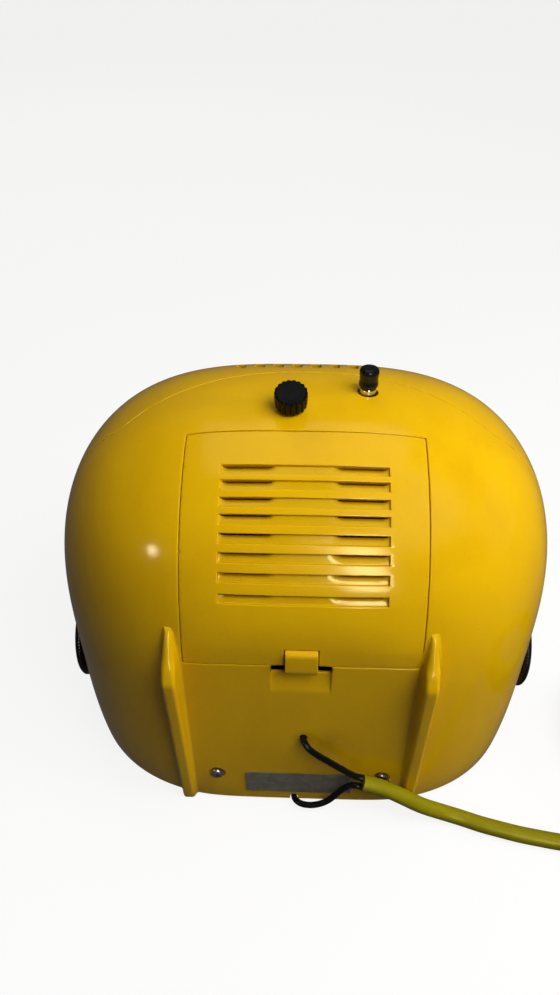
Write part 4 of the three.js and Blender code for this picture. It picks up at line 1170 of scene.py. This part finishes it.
def build_screen():
    out = rounded_rect(OPEN_W - 0.5, OPEN_H - 0.5, OPEN_R - 0.25, 20)
    inn = rounded_rect(MASK_W, MASK_H, MASK_R, 20)
    n = len(out)
    # share from outer to inner outline, height above the form (+ is outward)
    profile = [(0.0, -9.0), (0.0, -0.4), (-0.035, 0.05), (-0.05, 0.35), (-0.03, 0.65), (0.02, 0.75), (0.08, 0.6), (0.14, 0.15), (0.3, -0.6), (0.6, -1.9), (0.92, -3.0), (0.99, -3.4), (1.0, -3.9), (1.0, -8.5)]
    v, f = [], []
    for s, h in profile:
        for (ax_, az), (bx, bz) in zip(out, inn):
            x, zz = ax_ + (bx - ax_) * s, az + (bz - az) * s
            y = float(surface_y(x, zz + SCREEN_Z, back=False))
            v.append((x, y - h, zz + SCREEN_Z))
    m = len(profile)
    for k in range(m):
        for i in range(n):
            j = (i + 1) % n
            q = (k + 1) % m
            f.append((k * n + i, k * n + j, q * n + j, q * n + i))
    add_mesh("screen_bezel", v, f, MATT, slot="black_matt", replaces=["screen_surround"], sharp=45)
    pane = rounded_rect(MASK_W - 0.6, MASK_H - 0.6, MASK_R - 0.3, 16)
    n = len(pane)
    v, f = [], []
    shares = [0.0] + list(np.linspace(0.06, 0.97, 22)) + [1.0]
    for d in (3.5, 6.0):
        base = len(v)
        v.append((0, float(surface_y(0.0, SCREEN_Z, back=False)) + d, SCREEN_Z))
        for s in shares[1:]:
            for a_, b_ in pane:
                x, zz = a_ * s, b_ * s + SCREEN_Z
                edge = 0.35 * float(step(s, 0.985, 1.0)) * (1 if d < 5 else -1)
                v.append((x, float(surface_y(x, zz, back=False)) + d + edge, zz))
        for k in range(len(shares) - 1):
            for i in range(n):
                j = (i + 1) % n
                if k == 0:
                    f.append((base, base + 1 + i, base + 1 + j))
                else:
                    p, q = base + 1 + (k - 1) * n, base + 1 + k * n
                    f.append((p + i, q + i, q + j, p + j))
    half = len(v) // 2
    last = 1 + (len(shares) - 2) * n
    for i in range(n):
        j = (i + 1) % n
        f.append((last + i, half + last + i, half + last + j, last + j))
    add_mesh("screen_pane", v, f, WINDOW, slot="smoked_window", replaces=["screen_window"], sharp=45)


build_screen()


def loft(sections, zc, seg=96, caps=True):
    v, f = [], []
    for y, a, b, e in sections:
        for i in range(seg):
            t = 2 * pi * i / seg
            c, s = cos(t), sin(t)
            v.append((a * math.copysign(abs(c) ** (2 / e), c), y, zc + b * math.copysign(abs(s) ** (2 / e), s)))
    for k in range(len(sections) - 1):
        for i in range(seg):
            j = (i + 1) % seg
            f.append((k * seg + i, k * seg + j, (k + 1) * seg + j, (k + 1) * seg + i))
    f.append(tuple(range(seg)))
    f.append(tuple(range((len(sections) - 1) * seg, len(sections) * seg)))
    return np.array(v, float), f


add_mesh("picture_tube_glass", *loft([
    (-88.4, 8, 6, 2.1), (-88.2, 16, 12, 2.2), (-87.5, 32, 25, 2.6), (-86.6, 40, 31, 2.9), (-85.3, 47, 36.5, 3.4), (-84.0, 50.3, 39, 3.8), (-82.6, 52.6, 40.6, 4.2),
    (-80.4, 54.6, 42.6, 5), (-78.5, 55, 43, 5), (-65.5, 55, 43, 5), (-62, 52.5, 41, 4.4), (-60, 50, 39, 4), (-54, 40, 32, 3), (-48, 30, 25, 2.4), (-42, 21.5, 19, 2.1),
    (-38, 16.5, 15.5, 2), (-33, 11.5, 11.5, 2), (-30, 10, 10, 2), (25, 10, 10, 2), (26, 9, 9, 2)], SCREEN_Z), TUBE, slot="tube_glass", replaces=["picture_tube"], sharp=60)


# ------------------------------------------------------------------ knobs, aerial, dials
def build_top_knob():
    def radial(r, h, t):
        if r < 5.5:
            return r
        lobe = abs(math.cos(9 * t)) ** 0.8
        return r - 0.62 * (1 - lobe) * min(1, max(0.0, (r - 5.5) / 0.4))

    prof = [(0, 5.0), (1.5, 5.0), (1.5, 0.0), (5.6, 0.0), (6.1, 0.1), (6.34, 0.35), (6.42, 0.8), (6.46, 2.0), (6.52, 4.0), (6.53, 6.4), (6.5, 6.7), (6.4, 6.95),
            (6.2, 7.12), (5.9, 7.19), (5.4, 7.2), (4.8, 7.18), (4.4, 7.1), (3.0, 7.06), (1.5, 7.05), (0, 7.04)]
    v, f = lean(lathe(prof, 216, radial=radial))
    add_mesh("fluted_knob", v, f, KNOB_BLACK, body="top_turn", slot="black_plastic", replaces=["top_knob"], sharp=50)
    add_mesh("knob_shaft", *lean(lathe(fillet([(0, -7.3), (1.2, -7.3), (1.2, 4.6), (0, 4.6)], 0.2, 2), 32)), STEEL, body="top_turn", slot="steel",
             replaces=["top_shaft"])


build_top_knob()


def build_aerial():
    od, idm, low = [6.8, 5.2, 3.6, 2.0], [5.8, 4.2, 2.6, 0], [56, 57.5, 59, 60.5]
    for i in range(4):
        ro, ri, z0, z1 = od[i] / 2, idm[i] / 2, low[i], 173.2 + (5.4 if i == 3 else 0)
        if ri:
            prof = [(ri, z0), (ro, z0), (ro, z1 - 1.6), (ro - 0.06, z1 - 1.35), (ro - 0.1, z1 - 1.1), (ro - 0.06, z1 - 0.85), (ro, z1 - 0.6), (ro - 0.02, z1 - 0.15), (ro - 0.14, z1),
                    (ri + 0.06, z1), (ri, z1 - 0.1)]
            vf = lathe(prof, 48, closed=True)
        else:
            vf = lathe(fillet([(0, z0), (ro, z0), (ro, z1), (0, z1)], 0.2, 2), 32)
        add_mesh(f"aerial_tube_{i + 1}", *placed(vf, (*AERIAL_AT, 0)), BRIGHT, body="aerial_" + "abcd"[i], slot="bright_tube", replaces=[f"aerial_section_{i + 1}"], sharp=50)
    cap = [(0, 179.0), (1.3, 179.0), (1.3, 173.6)] + fillet([(1.3, 173.6), (3.6, 173.6), (4.0, 174.4), (3.98, 175.1), (3.74, 176.8), (3.8, 178.2), (4.0, 179.8), (3.9, 180.8), (3.5, 181.5),
                                                             (2.6, 181.95), (1.5, 182.05), (1.2, 181.85), (0, 181.8)], 0.5, 4)[1:]
    add_mesh("aerial_button", *placed(lathe(cap, 72), (*AERIAL_AT, 0)), BLACK, body="aerial_d", slot="black_plastic", replaces=["aerial_cap"], sharp=50)


build_aerial()


def build_dials():
    for side, axis, body in (("left", "x", "dial_left"), ("right", "-x", "dial_right")):
        R, X = DIAL_R, DIAL_X0

        def radial(r, h, t):
            if r < R - 1.0:
                return r
            return r - 0.28 * (0.5 - 0.5 * math.cos(90 * t)) * min(1, (r - (R - 1.0)) / 0.6)

        face = fillet([(2.4, X + 3.2), (2.4, X + 0.2), (R - 1.4, X), (R - 0.3, X + 0.5), (R, X + 1.4), (R - 0.1, X + 2.2), (R - 1.1, X + 3.2), (R - 4.2, X + 4.1), (R - 4.8, X + 3.95),
                       (R - 5.6, X + 4.2), (R - 12, X + 4.75), (R - 13, X + 4.6), (R - 14, X + 4.8), (0, X + 5.0)], 0.6, 4)
        prof = [(0, X + 3.2)] + face
        add_mesh(f"dial_disc_{side}", *placed(lathe(prof, 360, radial=radial), (0, DIAL_Y, DIAL_Z), axis), BLACK, body=body, slot="black_plastic", replaces=[f"side_dial_{side}"], sharp=50)
        add_mesh(f"dial_shaft_{side}", *placed(lathe(fillet([(0, 102.3), (2.1, 102.3), (2.1, X + 2.8), (0, X + 2.8)], 0.3, 2), 40), (0, DIAL_Y, DIAL_Z), axis), STEEL, body=body, slot="steel",
                 replaces=[f"side_shaft_{side}"])


build_dials()


# ------------------------------------------------------------------ screws, label, feet
def build_small():
    for side, s in (("left", 1), ("right", -1)):
        prof = [(0, -14), (1.4, -13.6)] + fillet([(1.4, -13), (1.4, 0), (3.1, 0), (3.1, 0.75), (2.75, 1.4), (2.0, 1.9), (1.0, 2.1), (0, 2.12)], 0.35, 4)[1:]
        head = placed(lathe(prof, 64), (s * SCREW_AT[0], PANEL - 0.6, SCREW_AT[1]), "y")
        turn = radians(28 if s > 0 else -17)

        def arm(w, h):
            def put(a, b, y):
                k = 1.0 if y > 1.5 else 0.45
                p, q = a * k * cos(turn) - b * (1 if abs(b) < 0.5 else k) * sin(turn), a * k * sin(turn) + b * (1 if abs(b) < 0.5 else k) * cos(turn)
                return (s * SCREW_AT[0] + p, PANEL - 0.6 + y, SCREW_AT[1] + q)
            return prism([(-w, -h), (w, -h), (w, h), (-w, h)], 0.7, 2.4, put)

        cross = [(-1.7, -0.33), (-0.33, -0.33), (-0.33, -1.7), (0.33, -1.7), (0.33, -0.33), (1.7, -0.33), (1.7, 0.33), (0.33, 0.33), (0.33, 1.7), (-0.33, 1.7), (-0.33, 0.33), (-1.7, 0.33)]

        def put(a, b, y):
            k = 1.0 if y > 1.5 else 0.6
            a, b = a * (k if abs(a) > 1 else 1), b * (k if abs(b) > 1 else 1)
            return (s * SCREW_AT[0] + a * cos(turn) - b * sin(turn), PANEL - 0.6 + y, SCREW_AT[1] + a * sin(turn) + b * cos(turn))

        add_mesh(f"back_screw_{side}", *head, STEEL, slot="steel", replaces=[f"rear_screw_{side}"], sharp=45, cut=[prism(cross, 0.7, 2.5, put)])

    plate = [(0.05 + a, 15.3 + b) for a, b in rounded_rect(47.5, 14.8, 0.8, 4)]
    v, f = prism(plate, PANEL + 0.3, PANEL + 0.58, lambda a, b, h: (a, h, b))
    add_mesh("foil_plate", v, f, FOIL, slot="foil", replaces=["label_plate"], sharp=40, bevel=0.08)
    for i, (x, y) in enumerate([(-62, -72), (62, -72), (-62, 28), (62, 28)]):
        prof = fillet([(0, 0), (5.9, 0), (6.3, 0.15), (7, 0.9), (7, 2.7), (0, 2.7)], 0.35, 4)
        add_mesh(f"rubber_foot_{i + 1}", *placed(lathe(prof, 56), (x, y, 0)), RUBBER, slot="rubber", replaces=[f"foot_{i + 1}"])


build_small()

# ------------------------------------------------------------------ the CAD pieces that stay
KEPT = {
    "top_control": BOARD, "aerial_guide": MATT, "tuner_can": GREY_METAL, "volume_control": CORE, "tube_band": GREY_METAL, "yoke_core": CORE, "yoke_coil": COPPER,
    "tube_socket": PALE, "socket_board": BOARD, "speaker_basket": GREY_METAL, "speaker_cone": PAPER, "speaker_magnet": CORE, "bottom_plate": MATT, "main_board": BOARD,
    "line_transformer_coil": COPPER, "line_transformer_core": CORE, "capacitor_1": SLEEVE, "capacitor_2": SLEEVE, "capacitor_3": SLEEVE,
    "mains_transformer_core": GREY_METAL, "mains_transformer_coil": COPPER, "preset_board": BOARD, "preset_control_1": MATT, "preset_control_2": PALE, "preset_control_3": MATT,
}
for name, material in KEPT.items():
    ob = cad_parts[name]
    ob.data.materials.clear()
    ob.data.materials.append(material)
    weld = ob.modifiers.new("weld", "WELD")
    weld.merge_threshold = 0.00001
    b = ob.modifiers.new("edge", "BEVEL")
    b.width = 0.00025
    b.segments = 2
    b.limit_method = "ANGLE"
    b.angle_limit = radians(40)


# ------------------------------------------------------------------ floor and light
def pale_floor():
    m, t, b = new_material("pale_floor")
    v = coords(t)
    t.links.new(ramp(t, noise(t, v, 3, 3, 0.5), [(0.3, (0.13, 0.13, 0.13)), (0.7, (0.14, 0.14, 0.139))]), b.inputs["Base Color"])
    t.links.new(ramp(t, noise(t, v, 40, 3, 0.5), [(0.3, 0.75), (0.7, 0.85)]), b.inputs["Roughness"])
    b.inputs["Specular IOR Level"].default_value = 0.1
    b.inputs["Emission Color"].default_value = (1.0, 1.0, 0.995, 1)
    b.inputs["Emission Strength"].default_value = 0.86
    v = [(30 * cos(2 * pi * i / 96), 30 * sin(2 * pi * i / 96), 0) for i in range(96)]
    me = bpy.data.meshes.new("floor")
    faces = [(0, i + 1, (i + 1) % 96 + 1) for i in range(96)]
    for k, (r, h) in enumerate(((33, 1.5), (35, 6), (36, 40))):  # turns up far away, so that low views stay pale too
        v += [(r * cos(2 * pi * i / 96), r * sin(2 * pi * i / 96), h) for i in range(96)]
        faces += [(k * 96 + i + 1, k * 96 + (i + 1) % 96 + 1, (k + 1) * 96 + (i + 1) % 96 + 1, (k + 1) * 96 + i + 1) for i in range(96)]
    me.from_pydata([(0, 0, 0)] + v, [], faces)
    me.materials.append(m)
    ob = bpy.data.objects.new("floor", me)
    SCENE.collection.objects.link(ob)
    ob.visible_diffuse = False
    ob.visible_glossy = False
    ob.visible_shadow = False


pale_floor()


def area_light(name, at, target, size, power, colour=(1, 1, 1), size_y=None, diffuse=True, glossy=True):
    d = bpy.data.lights.new(name, "AREA")
    d.energy = power
    d.color = colour
    d.size = size
    if size_y:
        d.shape = "RECTANGLE"
        d.size_y = size_y
    o = bpy.data.objects.new(name, d)
    SCENE.collection.objects.link(o)
    o.location = at
    o.rotation_euler = (Vector(target) - Vector(at)).to_track_quat("-Z", "Y").to_euler()
    o.visible_diffuse = diffuse
    o.visible_glossy = glossy
    return o


def beyond(point, direction, reach):
    """A place out along the mirror line from a point of the housing given in row millimetres."""
    return [point[i] / 1000 + reach * direction[i] for i in range(3)]


def lights():
    w = bpy.data.worlds.new("studio")
    SCENE.world = w
    w.use_nodes = True
    bg = w.node_tree.nodes["Background"]
    bg.inputs["Color"].default_value = (1.0, 1.0, 1.0, 1)
    bg.inputs["Strength"].default_value = 0.075
    area_light("key", (-0.26, 0.27, 0.58), (-0.01, 0.03, 0.10), 0.42, 3.3, glossy=False)
    area_light("right", (-0.95, 0.08, 0.42), (0, 0.0, 0.09), 0.5, 3.6, glossy=False)
    area_light("front", (0.6, -1.7, 1.6), (0, -0.05, 0.09), 1.0, 6.0, glossy=False)
    area_light("top", (0.0, -0.3, 1.5), (0, 0, 0), 1.0, 2.2)
    spot_at = (55.9, 60.5, 138.0)
    area_light("glint", beyond(spot_at, (0.696, 0.626, 0.351), 0.8), [v / 1000 for v in spot_at], 0.045, 0.3, diffuse=False)
    pane_at = (-16.7, 66.4, 138.1)
    area_light("pane", beyond(pane_at, (-0.17, 0.88, 0.42), 1.0), [v / 1000 for v in pane_at], 0.17, 4.2, size_y=0.62, diffuse=False)


lights()
